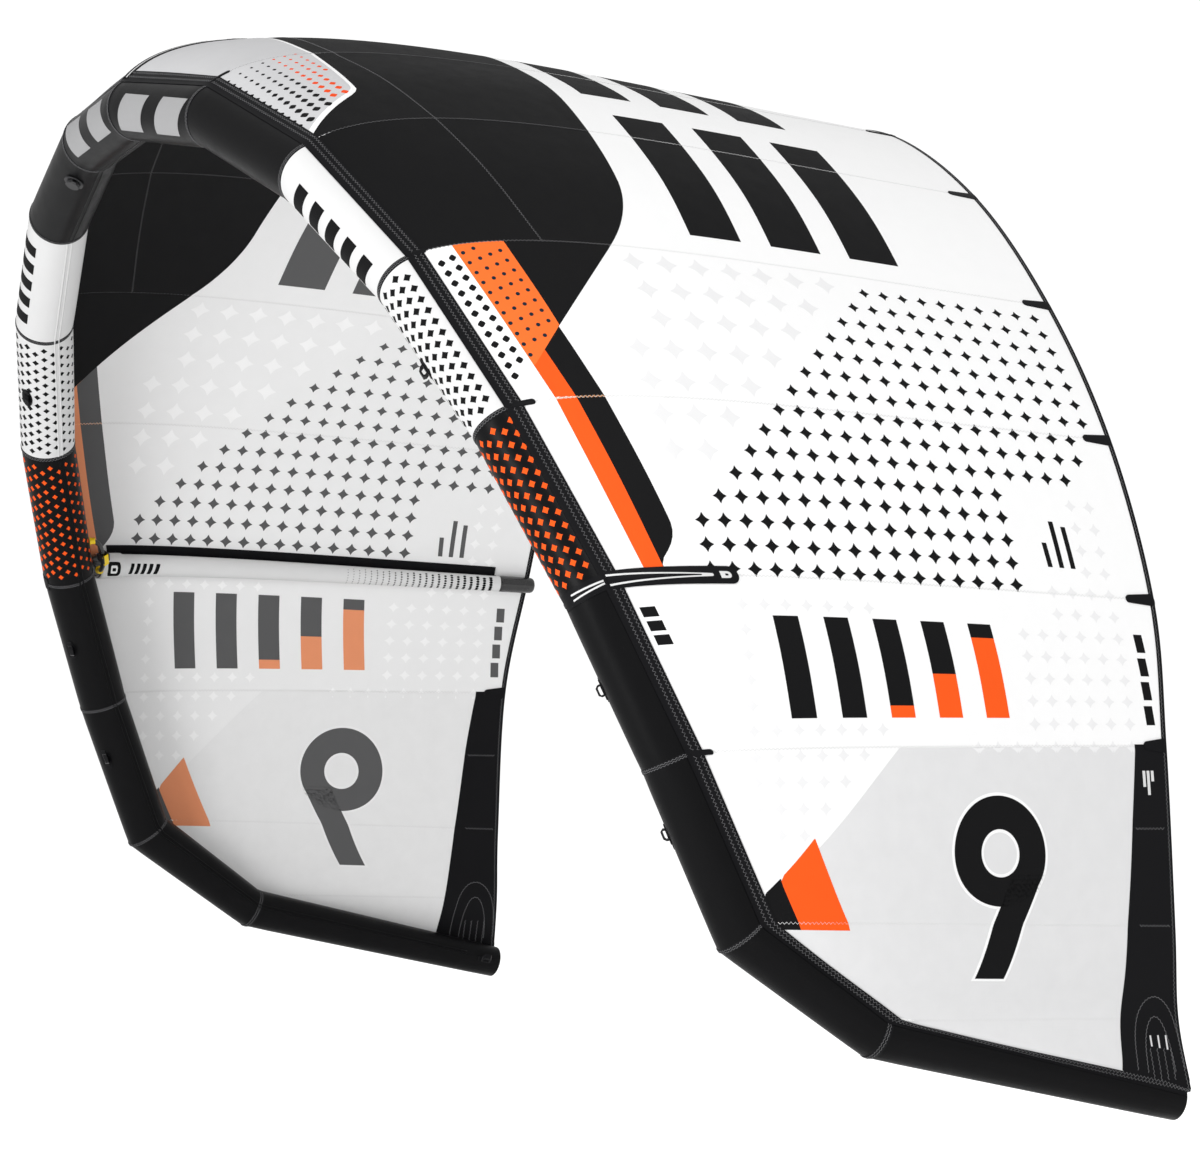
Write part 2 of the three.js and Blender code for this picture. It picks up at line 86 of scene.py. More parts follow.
def tubeStations():
    # Centres step along the segments; each seam plane halves the angle between its two segments
    length, roll, sweep, radius = np.array(sail["tube"]).T
    roll, sweep = np.radians(roll), np.radians(sweep)
    way = np.stack([np.cos(sweep) * np.cos(roll), np.sin(sweep), -np.cos(sweep) * np.sin(roll)], -1)
    centre = np.vstack([np.zeros(3), np.cumsum(way * length[:, None], axis=0)])
    after = np.vstack([way, way[-1:]])
    before = np.vstack([way[:1] * (1, -1, -1), way])
    tangent = unit(before + after)
    out = unit(np.stack([-tangent[:, 2], np.zeros(len(tangent)), tangent[:, 0]], -1))
    stretch = 1 / dot(before, tangent) - 1
    right = {"centre": centre, "out": out, "back": np.cross(out, tangent), "tangent": tangent,
             "bend": unit(after - before), "stretch": stretch,
             "radius": np.append(sail["midRadius"], radius)[:, None]}
    both = {}
    for key, values in right.items():
        turned = values[:0:-1] * (mirror if values.shape[1] == 3 else 1)
        both[key] = np.vstack([turned, values])
    return both, np.append(0, np.cumsum(length)), np.append(0, np.cumsum(length * np.cos(sweep)))


stations, seamAlong, seamQ = tubeStations()


def ringPoint(row, angle, lift=0.0):
    # Circle of the tube's radius in the seam plane, stretched along the bend as a mitre cut is
    arm = np.cos(angle)[..., None] * stations["out"][row] + np.sin(angle)[..., None] * stations["back"][row]
    arm = arm + stations["bend"][row] * dot(arm, stations["bend"][row]) * stations["stretch"][row]
    return stations["centre"][row] + arm * (stations["radius"][row] + np.asarray(lift)[..., None])


def tubePoint(u, angle, lift=0.0):
    # Straight line between the two seam rings at the same angle, swollen a little between them
    u, angle, lift = np.broadcast_arrays(np.asarray(u, float), angle, lift)
    low = np.clip(np.floor(u), -lastSeam, lastSeam - 1).astype(int)
    t = u - low
    lift = lift + sail["tubeSwell"] * (1 - (2 * t - 1) ** 8)
    near = ringPoint(low + lastSeam, angle, lift)
    return near + (ringPoint(low + lastSeam + 1, angle, lift) - near) * t[..., None]


def profileControls():
    # Four points of the cubic profile at each seam: tube surface, two handles, trailing edge
    seam, trail, drop, camber = np.array(sail["canopy"]).T
    rows = np.arange(lastSeam, 2 * lastSeam + 1)
    start = ringPoint(rows, np.radians(seam), sail["filmGap"])
    end = stations["centre"][rows] + np.stack([0 * trail, trail, -drop], -1)
    end[-1, 0] = start[-1, 0]
    chord = end - start
    size = np.linalg.norm(chord, axis=-1, keepdims=True)
    ahead = unit(chord)
    up = unit(stations["out"][rows] - ahead * dot(stations["out"][rows], ahead))

    def handle(reach, angle, sign):
        angle = np.radians(angle * camber)[:, None]
        return (ahead * sign * np.cos(angle) + up * np.sin(angle)) * reach * size

    first = start + handle(sail["frontHandle"], sail["frontAngle"], 1)
    second = end + handle(sail["rearHandle"], sail["rearAngle"], -1)
    right = np.stack([start, first, second, end], 1)
    return np.concatenate([right[:0:-1] * mirror, right])


controls = profileControls()


def controlsAt(u):
    # Straight between seams along the tube, and a smooth curve through the seams behind it
    place = np.clip(u + lastSeam, 0, 2 * lastSeam)
    low = np.minimum(np.floor(place), 2 * lastSeam - 1).astype(int)
    t = (place - low)[..., None, None]
    padded = np.concatenate([2 * controls[:1] - controls[1:2], controls, 2 * controls[-1:] - controls[-2:-1]])
    a, b, c, d = (padded[low + i] for i in range(4))
    slopeB, slopeC = (c - a) / 2, (d - b) / 2
    smooth = b + t * (slopeB + t * (3 * (c - b) - 2 * slopeB - slopeC + t * (2 * (b - c) + slopeB + slopeC)))
    smooth[..., 0, :] = (b + (c - b) * t)[..., 0, :]
    return smooth


def canopyPoint(u, v):
    # Cubic curve from the tube, v = 0, to the trailing edge, v = 1
    u, v = np.broadcast_arrays(np.asarray(u, float), np.asarray(v, float))
    points = controlsAt(u)
    v = v[..., None]
    weights = ((1 - v) ** 3, 3 * v * (1 - v) ** 2, 3 * v * v * (1 - v), v ** 3)
    return sum(points[..., i, :] * w for i, w in enumerate(weights))


def canopyNormal(u, v):
    step = 0.01
    along = canopyPoint(np.minimum(u + step, lastSeam), v) - canopyPoint(np.maximum(u - step, -lastSeam), v)
    ahead = canopyPoint(u, np.minimum(v + step, 1)) - canopyPoint(u, np.maximum(v - step, 0))
    return unit(np.cross(along, ahead))


def clothPoint(u, v, lift=0.0):
    # The canopy's middle surface, blown out a little between its seams, and lift above it
    u, v, lift = np.broadcast_arrays(np.asarray(u, float), np.asarray(v, float), np.asarray(lift, float))
    swell = sail["billow"] * np.sin(np.pi * u) ** 2 * np.clip(4 * v * (1 - v), 0, 1)
    return canopyPoint(u, v) + canopyNormal(u, v) * (sail["clothMiddle"] + swell + lift)[..., None]


def seamNumber(q):
    return np.interp(np.abs(q), seamQ, np.arange(lastSeam + 1)) * np.sign(q)


def frontEdge(q):
    return canopyPoint(seamNumber(q), 0)[..., 1]


def clothSpot(q, y, lift=0.0):
    # Cloth coordinates to space: v is found by halving the range in which the profile reaches y
    q, y, lift = np.broadcast_arrays(np.asarray(q, float), np.asarray(y, float), np.asarray(lift, float))
    u = seamNumber(q)
    points = controlsAt(u)[..., 1]
    low, high = np.zeros(q.shape), np.full(q.shape, 1.02)
    for _ in range(22):
        v = (low + high) / 2
        reached = (points[..., 0] * (1 - v) ** 3 + 3 * points[..., 1] * v * (1 - v) ** 2
                   + 3 * points[..., 2] * v * v * (1 - v) + points[..., 3] * v ** 3)
        low, high = np.where(reached < y, v, low), np.where(reached < y, high, v)
    return clothPoint(u, (low + high) / 2, lift)


def tubeSpot(along, around, lift=0.0):
    # Metres along the tube from the middle and angle round it, to space
    u = np.interp(np.abs(along), seamAlong, np.arange(lastSeam + 1)) * np.sign(along)
    return tubePoint(u, around, lift)


# ---- meshes from grids


def quadGrid(grid):
    corners = np.stack([grid[:-1, :-1], grid[1:, :-1], grid[1:, 1:], grid[:-1, 1:]], 2)
    return corners.reshape(-1, 4, *grid.shape[2:])


def facingOut(shell):
    # A closed shell whose volume comes out negative is inside out, so its faces are turned over
    volume = 0.0
    for faces in shell["faces"]:
        p = shell["points"][faces]
        for k in range(1, faces.shape[1] - 1):
            volume += np.sum(p[:, 0] * np.cross(p[:, k], p[:, k + 1]))
    if volume < 0:
        shell["faces"] = [faces[:, ::-1] for faces in shell["faces"]]
        shell["uv"] = [uv[:, ::-1] for uv in shell["uv"]]
    return shell


def makeShell(points, faces, uv, finish=0):
    return facingOut({"points": points.reshape(-1, 3), "faces": faces, "uv": uv, "finish": finish})


def sheetShell(top, bottom, uv, finish=0, backFinish=None):
    # Two grids of points, one above the other, joined round their rim
    rows, columns = top.shape[:2]
    index = np.arange(rows * columns).reshape(rows, columns)
    under = index + rows * columns
    rim = np.concatenate([index[0, :-1], index[:-1, -1], index[-1, :0:-1], index[:0:-1, 0]])
    flatUv = uv.reshape(-1, 2)
    following = np.roll(rim, -1)
    side = np.stack([following, following + rows * columns, rim + rows * columns, rim], 1)
    sideUv = flatUv[side % (rows * columns)]
    faces = [quadGrid(index), quadGrid(under)[:, ::-1], side]
    uvs = [quadGrid(uv), quadGrid(uv)[:, ::-1], sideUv]
    shell = makeShell(np.stack([top, bottom]), faces, uvs, finish)
    if backFinish is not None:
        shell["finish"] = [finish, backFinish, finish]
    return shell


def tubeShell(rings, uv=None, ends="flat", finish=0):
    # Rings of points joined along their path; ends are closed by a fan, or ring on ring for a wall
    rows, columns = rings.shape[:2]
    index = np.arange(rows * columns).reshape(rows, columns)
    if uv is None:
        across, along = np.meshgrid(np.linspace(0, 1, columns + 1), np.linspace(0, 1, rows))
        uv = np.stack([along, across], -1)
    wrapped = np.hstack([index, index[:, :1]])
    if ends == "wall":
        wrapped = np.vstack([wrapped, wrapped[:1]])
        uv = np.concatenate([uv, uv[:1]])
        return makeShell(rings, [quadGrid(wrapped)], [quadGrid(uv)], finish)
    points = rings.reshape(-1, 3)
    poles = np.stack([rings[0].mean(0), rings[-1].mean(0)])
    start, end = rows * columns, rows * columns + 1
    first = np.stack([np.full(columns, start), wrapped[0, 1:], wrapped[0, :-1]], 1)[:, ::-1]
    last = np.stack([np.full(columns, end), wrapped[-1, :-1], wrapped[-1, 1:]], 1)[:, ::-1]
    capUv = np.zeros((columns, 3, 2)) + 0.5
    return makeShell(np.vstack([points, poles]), [quadGrid(wrapped), first, last],
                     [quadGrid(uv), capUv, capUv], finish)


def makePiece(name, shells, finishes, body="kite", standsFor=()):
    # Puts the shells' points and faces into one mesh as whole arrays
    mesh = bpy.data.meshes.new(name)
    offset, corners, uvs, sizes, slots = 0, [], [], [], []
    for shell in shells:
        own = shell["finish"]
        if not isinstance(own, list):
            own = [own] * len(shell["faces"])
        for faces, uv, number in zip(shell["faces"], shell["uv"], own):
            corners.append((faces + offset).ravel())
            uvs.append(uv.reshape(-1, 2))
            sizes.append(np.full(len(faces), faces.shape[1]))
            slots.append(np.full(len(faces), number))
        offset += len(shell["points"])
    corners, uvs, sizes, slots = (np.concatenate(x) for x in (corners, uvs, sizes, slots))
    mesh.vertices.add(offset)
    mesh.vertices.foreach_set("co", np.concatenate([s["points"] for s in shells]).astype(np.float32).ravel())
    mesh.loops.add(len(corners))
    mesh.loops.foreach_set("vertex_index", corners.astype(np.int32))
    mesh.polygons.add(len(sizes))
    mesh.polygons.foreach_set("loop_start", (np.cumsum(sizes) - sizes).astype(np.int32))
    mesh.polygons.foreach_set("material_index", slots.astype(np.int32))
    mesh.uv_layers.new(name="cloth").data.foreach_set("uv", uvs.astype(np.float32).ravel())
    for material in finishes:
        mesh.materials.append(material)
    mesh.update(calc_edges=True)
    mesh.validate()
    mesh.set_sharp_from_angle(angle=math.radians(38))
    piece = bpy.data.objects.new(name, mesh)
    bpy.context.scene.collection.objects.link(piece)
    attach(piece, body)
    if standsFor:
        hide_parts(*standsFor)
    return piece


# ---- finishes


def newFinish(name):
    material = bpy.data.materials.new(name)
    material.use_nodes = True
    tree = material.node_tree
    return material, tree, tree.nodes["Principled BSDF"]


def math2(tree, operation, first, second=0.0):
    node = tree.nodes.new("ShaderNodeMath")
    node.operation = operation
    for socket, value in zip(node.inputs, (first, second)):
        if isinstance(value, (int, float)):
            socket.default_value = value
        else:
            tree.links.new(value, socket)
    return node.outputs[0]


def noiseField(tree, coordinates, scale, detail=3.0, roughness=0.55, stretch=None):
    node = tree.nodes.new("ShaderNodeTexNoise")
    node.inputs["Scale"].default_value = scale
    node.inputs["Detail"].default_value = detail
    node.inputs["Roughness"].default_value = roughness
    if stretch:
        mapping = tree.nodes.new("ShaderNodeMapping")
        mapping.inputs["Scale"].default_value = stretch
        tree.links.new(coordinates, mapping.inputs["Vector"])
        coordinates = mapping.outputs[0]
    tree.links.new(coordinates, node.inputs["Vector"])
    return node.outputs[0]


def clothFinish(name, colour, roughness=0.6, weave=0.0016, ripstop=0.0, wrinkle=0.0006, sheen=0.0,
                mottle=0.04, onUv=True, gloss=0.08):
    # Woven cloth: a fine weave and a ripstop grid in the bump, long soft creases, a slight mottle
    material, tree, shader = newFinish(name)
    links = tree.links
    if onUv:
        source = tree.nodes.new("ShaderNodeUVMap")
        source.uv_map = "cloth"
        coordinates = source.outputs[0]
    else:
        coordinates = tree.nodes.new("ShaderNodeTexCoord").outputs["Object"]
    split = tree.nodes.new("ShaderNodeSeparateXYZ")
    links.new(coordinates, split.inputs[0])
    waves = [math2(tree, "SINE", math2(tree, "MULTIPLY", split.outputs[axis], 2 * math.pi / weave))
             for axis in (0, 1)]
    height = math2(tree, "MULTIPLY", math2(tree, "MULTIPLY", *waves), 0.00003)
    if ripstop:
        for axis in (0, 1):
            beat = math2(tree, "FRACT", math2(tree, "DIVIDE", split.outputs[axis], ripstop))
            ridge = math2(tree, "GREATER_THAN", beat, 0.86)
            height = math2(tree, "ADD", height, math2(tree, "MULTIPLY", ridge, 0.00005))
    soft = noiseField(tree, coordinates, 9.0, 4.0, 0.5, (1.0, 2.6, 1.0))
    height = math2(tree, "ADD", height, math2(tree, "MULTIPLY", soft, wrinkle))
    bump = tree.nodes.new("ShaderNodeBump")
    bump.inputs["Strength"].default_value = 0.8
    bump.inputs["Distance"].default_value = 1.0
    links.new(height, bump.inputs["Height"])
    links.new(bump.outputs[0], shader.inputs["Normal"])
    tone = noiseField(tree, coordinates, 22.0, 5.0)
    mix = tree.nodes.new("ShaderNodeMix")
    mix.data_type = "RGBA"
    mix.inputs["A"].default_value = (*(c * (1 - mottle) for c in colour), 1)
    mix.inputs["B"].default_value = (*(min(c * (1 + mottle), 1) for c in colour), 1)
    links.new(tone, mix.inputs["Factor"])
    links.new(mix.outputs["Result"], shader.inputs["Base Color"])
    rough = math2(tree, "ADD", math2(tree, "MULTIPLY", tone, 0.14), roughness - 0.07)
    links.new(rough, shader.inputs["Roughness"])
    shader.inputs["Specular IOR Level"].default_value = gloss
    shader.inputs["Sheen Weight"].default_value = sheen
    shader.inputs["Sheen Roughness"].default_value = 0.4
    return material


def mouldedFinish(name, colour, roughness=0.4, grain=700.0, depth=0.00004, coat=0.0):
    # Moulded plastic or rubber: a fine orange-peel grain and a slight change of gloss
    material, tree, shader = newFinish(name)
    coordinates = tree.nodes.new("ShaderNodeTexCoord").outputs["Object"]
    peel = noiseField(tree, coordinates, grain, 2.0)
    bump = tree.nodes.new("ShaderNodeBump")
    bump.inputs["Strength"].default_value = 0.6
    bump.inputs["Distance"].default_value = 1.0
    tree.links.new(math2(tree, "MULTIPLY", peel, depth), bump.inputs["Height"])
    tree.links.new(bump.outputs[0], shader.inputs["Normal"])
    worn = noiseField(tree, coordinates, 60.0, 4.0)
    tree.links.new(math2(tree, "ADD", math2(tree, "MULTIPLY", worn, 0.2), roughness - 0.1),
                   shader.inputs["Roughness"])
    mix = tree.nodes.new("ShaderNodeMix")
    mix.data_type = "RGBA"
    mix.inputs["A"].default_value = (*(c * 0.88 for c in colour), 1)
    mix.inputs["B"].default_value = (*(min(c * 1.12, 1) for c in colour), 1)
    tree.links.new(worn, mix.inputs["Factor"])
    tree.links.new(mix.outputs["Result"], shader.inputs["Base Color"])
    shader.inputs["Coat Weight"].default_value = coat
    return material


tones = {
    # The white cloth's inner-face tone is darker than its outer-face tone. That is painted shade: both faces
    # are the same white cloth.
    "white": (0.93, 0.93, 0.93), "shadedWhiteInside": (0.86, 0.86, 0.86), "grey": (0.73, 0.73, 0.735),
    "greyInside": (0.82, 0.82, 0.82), "black": (0.006, 0.006, 0.0065), "blackInside": (0.105, 0.105, 0.107),
    "darkInside": (0.007, 0.007, 0.0075), "orange": (0.93, 0.105, 0.012), "orangeInside": (0.80, 0.30, 0.15),
    "paleOrange": (0.96, 0.17, 0.030), "night": (0.008, 0.022, 0.035), "patchGrey": (0.60, 0.60, 0.61),
    "ghost": (0.83, 0.83, 0.835), "ghostInside": (0.94, 0.94, 0.94),
    "tubeBlack": (0.006, 0.006, 0.0065), "tubeWhite": (0.70, 0.70, 0.70), "tape": (0.006, 0.006, 0.007),
    "thread": (0.16, 0.16, 0.165), "paleThread": (0.70, 0.70, 0.70), "yellow": (0.90, 0.62, 0.0),
    "rubber": (0.010, 0.010, 0.010), "plastic": (0.014, 0.014, 0.016), "film": (0.55, 0.58, 0.60),
    "red": (0.86, 0.080, 0.012), "markGrey": (0.36, 0.36, 0.365),
}


def printFinish(tone, roughness=0.62):
    return clothFinish("print_" + tone, tones[tone], roughness, ripstop=0.007)


whiteCloth = clothFinish("canopy_white", tones["white"], 0.62, ripstop=0.007, mottle=0.015)
# The canopy's inner face is the same white cloth in a darker tone, which is painted shade.
shadedWhiteClothInside = clothFinish("canopy_white_inside_painted_shade", tones["shadedWhiteInside"], 0.66, ripstop=0.007, mottle=0.015)
prints = {tone: printFinish(tone) for tone in (
    "white", "shadedWhiteInside", "grey", "greyInside", "black", "blackInside", "darkInside", "orange",
    "orangeInside", "paleOrange", "night", "patchGrey", "ghost", "ghostInside", "red", "markGrey")}
tubeBlack = clothFinish("dacron_black", tones["tubeBlack"], 0.34, weave=0.0022, wrinkle=0.0009, gloss=0.06)
tubeWhite = clothFinish("dacron_white", tones["tubeWhite"], 0.45, weave=0.0022, wrinkle=0.0009, mottle=0.015)
tapeBlack = clothFinish("tape_black", tones["tape"], 0.5, weave=0.0018, wrinkle=0.0003)
threadGrey = clothFinish("thread_grey", tones["thread"], 0.5, onUv=False, wrinkle=0.0)
threadPale = clothFinish("thread_pale", tones["paleThread"], 0.5, onUv=False, wrinkle=0.0)
threadOrange = clothFinish("thread_orange", (0.95, 0.42, 0.16), 0.5, onUv=False, wrinkle=0.0)
webbing = clothFinish("webbing_black", tones["tape"], 0.65, weave=0.0026, wrinkle=0.0, onUv=False, sheen=0.3)
yellowPlastic = mouldedFinish("plastic_yellow", tones["yellow"], 0.36)
rubberBlack = mouldedFinish("rubber_black", tones["rubber"], 0.3, 500.0, coat=0.3)
capBlack = mouldedFinish("cap_black", tones["rubber"], 0.25, 400.0, coat=0.5)
plasticBlack = mouldedFinish("plastic_black", tones["plastic"], 0.4)
filmClear = mouldedFinish("film_grey", tones["film"], 0.3, 90.0, 0.0008)
print("finishes ready", len(bpy.data.materials))

# ---- leading edge

leadingEdge = {"around": 72, "perSegment": 10, "wall": 0.0012, "endGap": 0.0003, "ridgeAngle": 163,
               "ridgeApart": 9, "domeFrom": 8.9885, "domeDepth": 0.0088, "panel": 0.4, "patchPanel": 0.39}
sleeveLengths = [("white", 2, 3), ("dotted", 3, 4), ("orange", 4, 5), ("outer", 5, 7), ("tip", 7, 9)]


def sleeveRings(uFrom, uTo, lift):
    # Rings of the tube at even steps, ending a hair's breadth before the neighbour's sleeve
    count = int(round(uTo - uFrom)) * leadingEdge["perSegment"] + 1
    inset = leadingEdge["endGap"] / leadingEdge["panel"]
    u = np.linspace(uFrom + inset, uTo - inset, count)
    angle = np.linspace(0, 2 * np.pi, leadingEdge["around"], endpoint=False)
    return u, tubePoint(u[:, None], angle[None, :], lift)


def sleeveUv(u, columns):
    along = np.interp(np.abs(u), np.arange(lastSeam + 1), seamAlong) * np.sign(u)
    around = np.linspace(0, 2 * np.pi * sail["midRadius"], columns + 1)
    return np.stack(np.meshgrid(along, around, indexing="ij"), -1)


def sleeveShell(uFrom, uTo):
    u, outer = sleeveRings(uFrom, uTo, 0.0)
    inner = sleeveRings(uFrom, uTo, -leadingEdge["wall"])[1][::-1]
    uv = np.concatenate([sleeveUv(u, outer.shape[1]), sleeveUv(u[::-1], outer.shape[1])])
    return tubeShell(np.concatenate([outer, inner]), uv, "wall")


def roundedTipShell(side):
    # The last sleeve ends in a sewn dome: the rings shrink along a quarter circle
    count = 2 * leadingEdge["perSegment"]
    u = np.linspace(7 + leadingEdge["endGap"] / leadingEdge["panel"], leadingEdge["domeFrom"], count + 1)
    angle = np.linspace(0, 2 * np.pi, leadingEdge["around"], endpoint=False)
    body = tubePoint(side * u[:, None], angle[None, :])
    turn = np.linspace(0.15, 1.5, 9)
    centre, rim = body[-1].mean(0), body[-1]
    way = unit(centre - body[-3].mean(0))
    dome = centre + (rim - centre) * np.cos(turn)[:, None, None]
    dome = dome + way * (leadingEdge["domeDepth"] * np.sin(turn))[:, None, None]
    return tubeShell(np.concatenate([body, dome]), None)


def makeSleeves():
    makePiece("leading_edge_middle", [sleeveShell(-2, 2)], [tubeBlack],
              standsFor=["leading_edge_sleeve_middle"])
    for name, low, high in sleeveLengths:
        pale = name in ("white", "dotted")
        for sideName, side in (("right", 1), ("left", -1)):
            if name == "tip":
                shell = roundedTipShell(side)
            else:
                shell = sleeveShell(*sorted((side * low, side * high)))
            node = f"leading_edge_sleeve_{name}_{sideName}"
            makePiece(f"leading_edge_{name}_{sideName}", [shell], [tubeWhite if pale else tubeBlack],
                      standsFor=[node])


makeSleeves()
print("leading edge sleeves made")

# ---- stitching

stitch = {"half": 0.0006, "high": 0.0004, "cycle": 0.009, "swing": 0.0022}


def threadShell(path, normal, swing=None, finish=0):
    # A zigzag along the path: corners swing to either side in turn; the section is a small diamond
    swing = stitch["swing"] if swing is None else swing
    count = len(path)
    forward = unit(np.gradient(path, axis=0))
    across = unit(np.cross(normal, forward))
    sway = np.where(np.arange(count) % 2 == 0, swing, -swing)[:, None]
    centre = path + across * sway
    direction = unit(np.gradient(centre, axis=0))
    side = unit(np.cross(normal, direction)) * stitch["half"]
    rise = normal * stitch["high"]
    rings = np.stack([centre + side, centre + rise, centre - side, centre - rise], 1)
    return tubeShell(rings, None, "flat", finish)


def evenPath(points, normals, pitch):
    # The path cut into even steps of about the pitch
    gaps = np.linalg.norm(np.diff(points, axis=0), axis=1)
    reach = np.append(0, np.cumsum(gaps))
    wanted = np.linspace(0, reach[-1], max(int(reach[-1] / pitch), 2) + 1)
    even = np.stack([np.interp(wanted, reach, points[:, k]) for k in range(3)], 1)
    turned = np.stack([np.interp(wanted, reach, normals[:, k]) for k in range(3)], 1)
    return even, unit(turned)


def clothThread(q, y, side=1, swing=None, finish=0, lift=0.0004):
    height = side * (sail["halfCloth"] + lift)
    points = clothSpot(q, y, height)
    normals = unit(clothSpot(q, y, height + side * 0.01) - points)
    return threadShell(*evenPath(points, normals, stitch["cycle"] / 2), swing, finish)


# ---- canopy cloth

canopy = {"perPanel": 16, "chordCells": 104, "flat": (6.25, 1.78)}


def makeCanopy():
    # One sheet over the whole span: an outer and an inner grid, a cloth's thickness apart
    u = np.linspace(-lastSeam, lastSeam, 2 * lastSeam * canopy["perPanel"] + 1)
    u = np.clip(u, -lastSeam + 0.001, lastSeam - 0.001)
    v = np.linspace(0, 1, canopy["chordCells"] + 1) ** 1.25
    uGrid, vGrid = np.meshgrid(u, v, indexing="ij")
    outer = clothPoint(uGrid, vGrid, sail["halfCloth"])
    inner = clothPoint(uGrid, vGrid, -sail["halfCloth"])
    q = np.interp(np.abs(uGrid), np.arange(lastSeam + 1), seamQ) * np.sign(uGrid)
    uv = np.stack([q, outer[..., 1]], -1)
    shell = sheetShell(outer, inner, uv, 0, 1)
    panels = ["canopy_panel_middle"]
    for sideName in ("right", "left"):
        panels += [f"canopy_panel_{k}_{sideName}" for k in range(1, 7)] + [f"canopy_panel_tip_{sideName}"]
    middle = (outer + inner) / 2
    across = np.cross(middle[1:, 1:] - middle[:-1, :-1], middle[:-1, 1:] - middle[1:, :-1])
    area = float(np.linalg.norm(across, axis=-1).sum() / 2)
    piece = makePiece("canopy", [shell], [whiteCloth, shadedWhiteClothInside], standsFor=panels)
    print("canopy area", round(area, 3))
    return piece, area


canopySheet, canopyArea = makeCanopy()

# ---- prints on the cloth

layer = 0.00035  # how far one layer of print stands above what it lies on


def smoothMin(a, b, soft):
    share = np.clip(0.5 + 0.5 * (b - a) / soft, 0, 1)
    return b + (a - b) * share - soft * share * (1 - share)


def regionShells(qRange, low, high, level=1, finishes=(0, 1), sides=(1, -1), wings=(1, -1)):
    # The cloth between two curves low(q) and high(q), a thin skin on its outer and inner faces
    shells = []
    q = np.linspace(*qRange, max(int(abs(qRange[1] - qRange[0]) / 0.014), 4) + 1)
    bottom, top = (np.broadcast_to(f(q) if callable(f) else f, q.shape) for f in (low, high))
    count = max(int(np.max(top - bottom) / 0.014), 2)
    share = np.linspace(0, 1, count + 1)
    y = bottom[:, None] + (top - bottom)[:, None] * share
    for wing in wings:
        qGrid = np.broadcast_to(wing * q[:, None], y.shape)
        for side in sides:
            over = clothSpot(qGrid, y, side * (sail["halfCloth"] + layer * level))
            under = clothSpot(qGrid, y, side * (sail["halfCloth"] - 0.0001))
            uv = np.stack([qGrid, y], -1)
            shells.append(sheetShell(over, under, uv, finishes[0] if side > 0 else finishes[1]))
    return shells


def shapeShells(spot, centres, outline, sizes, level=1, finishes=(0, 1), sides=(1, -1), wings=(1, -1),
                base=sail["halfCloth"], turn=1.0):
    # Flat shapes: one outline about every centre, a fan above, a fan below and a rim between them
    centres, sizes = np.asarray(centres, float), np.asarray(sizes, float)
    count, corners = len(centres), len(outline)
    x = centres[:, :1] + outline[None, :, 0] * sizes[:, None]
    y = centres[:, 1:] + outline[None, :, 1] * sizes[:, None] * turn
    x, y = np.hstack([x, centres[:, :1]]), np.hstack([y, centres[:, 1:]])
    ring = np.arange(corners)
    following = (ring + 1) % corners
    middle, low = np.full(corners, corners), corners + 1
    faces = np.concatenate([
        np.stack([ring, following, middle], 1),
        np.stack([following + low, ring + low, middle + low], 1),
        np.stack([following, ring, ring + low], 1),
        np.stack([following, ring + low, following + low], 1),
    ])
    faces = (faces[None] + (np.arange(count) * 2 * low)[:, None, None]).reshape(-1, 3)
    shells = []
    for wing in wings:
        for side in sides:
            over = spot(wing * x, y, side * (base + layer * level))
            under = spot(wing * x, y, side * (base - 0.0001))
            points = np.stack([over, under], 1).reshape(-1, 3)
            uv = np.stack([np.stack([wing * x, y], -1)] * 2, 1).reshape(-1, 2)[faces]
            shells.append(makeShell(points, [faces], [uv], finishes[0] if side > 0 else finishes[1]))
    return shells


def starOutline(points=16, pinch=0.74):
    # |x|^p + |y|^p = 1 with p below one: four points and hollow sides
    angle = np.linspace(0, 2 * np.pi, points, endpoint=False)
    x, y = np.cos(angle), np.sin(angle)
    radius = (np.abs(x) ** pinch + np.abs(y) ** pinch) ** (-1 / pinch)
    return np.stack([x * radius, y * radius], 1)


def roundOutline(points=12):
    angle = np.linspace(0, 2 * np.pi, points, endpoint=False)
    return np.stack([np.cos(angle), np.sin(angle)], 1)


def diamondOutline():
    # A square on its corner with its corners taken off
    return np.array([(1, -0.22), (1, 0.22), (0.22, 1), (-0.22, 1), (-1, 0.22), (-1, -0.22), (-0.22, -1),
                     (0.22, -1)]) * (1.0, 0.92)


star, tubeStar, dot12, diamond = starOutline(), starOutline(16, 0.9), roundOutline(), diamondOutline()


def lattice(origin, across, along, acrossRange, alongRange):
    i, j = np.meshgrid(np.arange(*acrossRange), np.arange(*alongRange), indexing="ij")
    i, j = i.ravel()[:, None], j.ravel()[:, None]
    return np.array(origin) + i * np.array(across) + j * np.array(along), i.ravel(), j.ravel()


# Layout on the right wing: straight edges as (q, y, slope), and the q where one area meets the next
edges = {
    "blackSide": (1.258, 0.591, -0.871), "orangeFront": (1.257, 0.240, 0.2943),
    "dotsRear": (1.258, 0.351, 0.235), "dotsFoot": (1.475, 0.402, -0.846),
    "stripeFront": (1.561, 0.364, 0.306), "stripeRear": (1.480, 0.400, 0.3036),
    "stripeFoot": (1.999, 0.498, -0.771), "greyFront": (2.385, 0.984, -1.071),
}
areas = {"blackEnd": 1.252, "dotsEnd": 1.475, "stripeFrom": 1.531, "footEnd": 1.564, "stripeEnd": 2.018,
         "orangeEnd": 2.026, "insideEnd": 1.64, "covered": 0.004, "blackRear": 0.755, "blackBow": 0.053}


def straight(name, q):
    q0, y0, slope = edges[name]
    return y0 + slope * (q - q0)


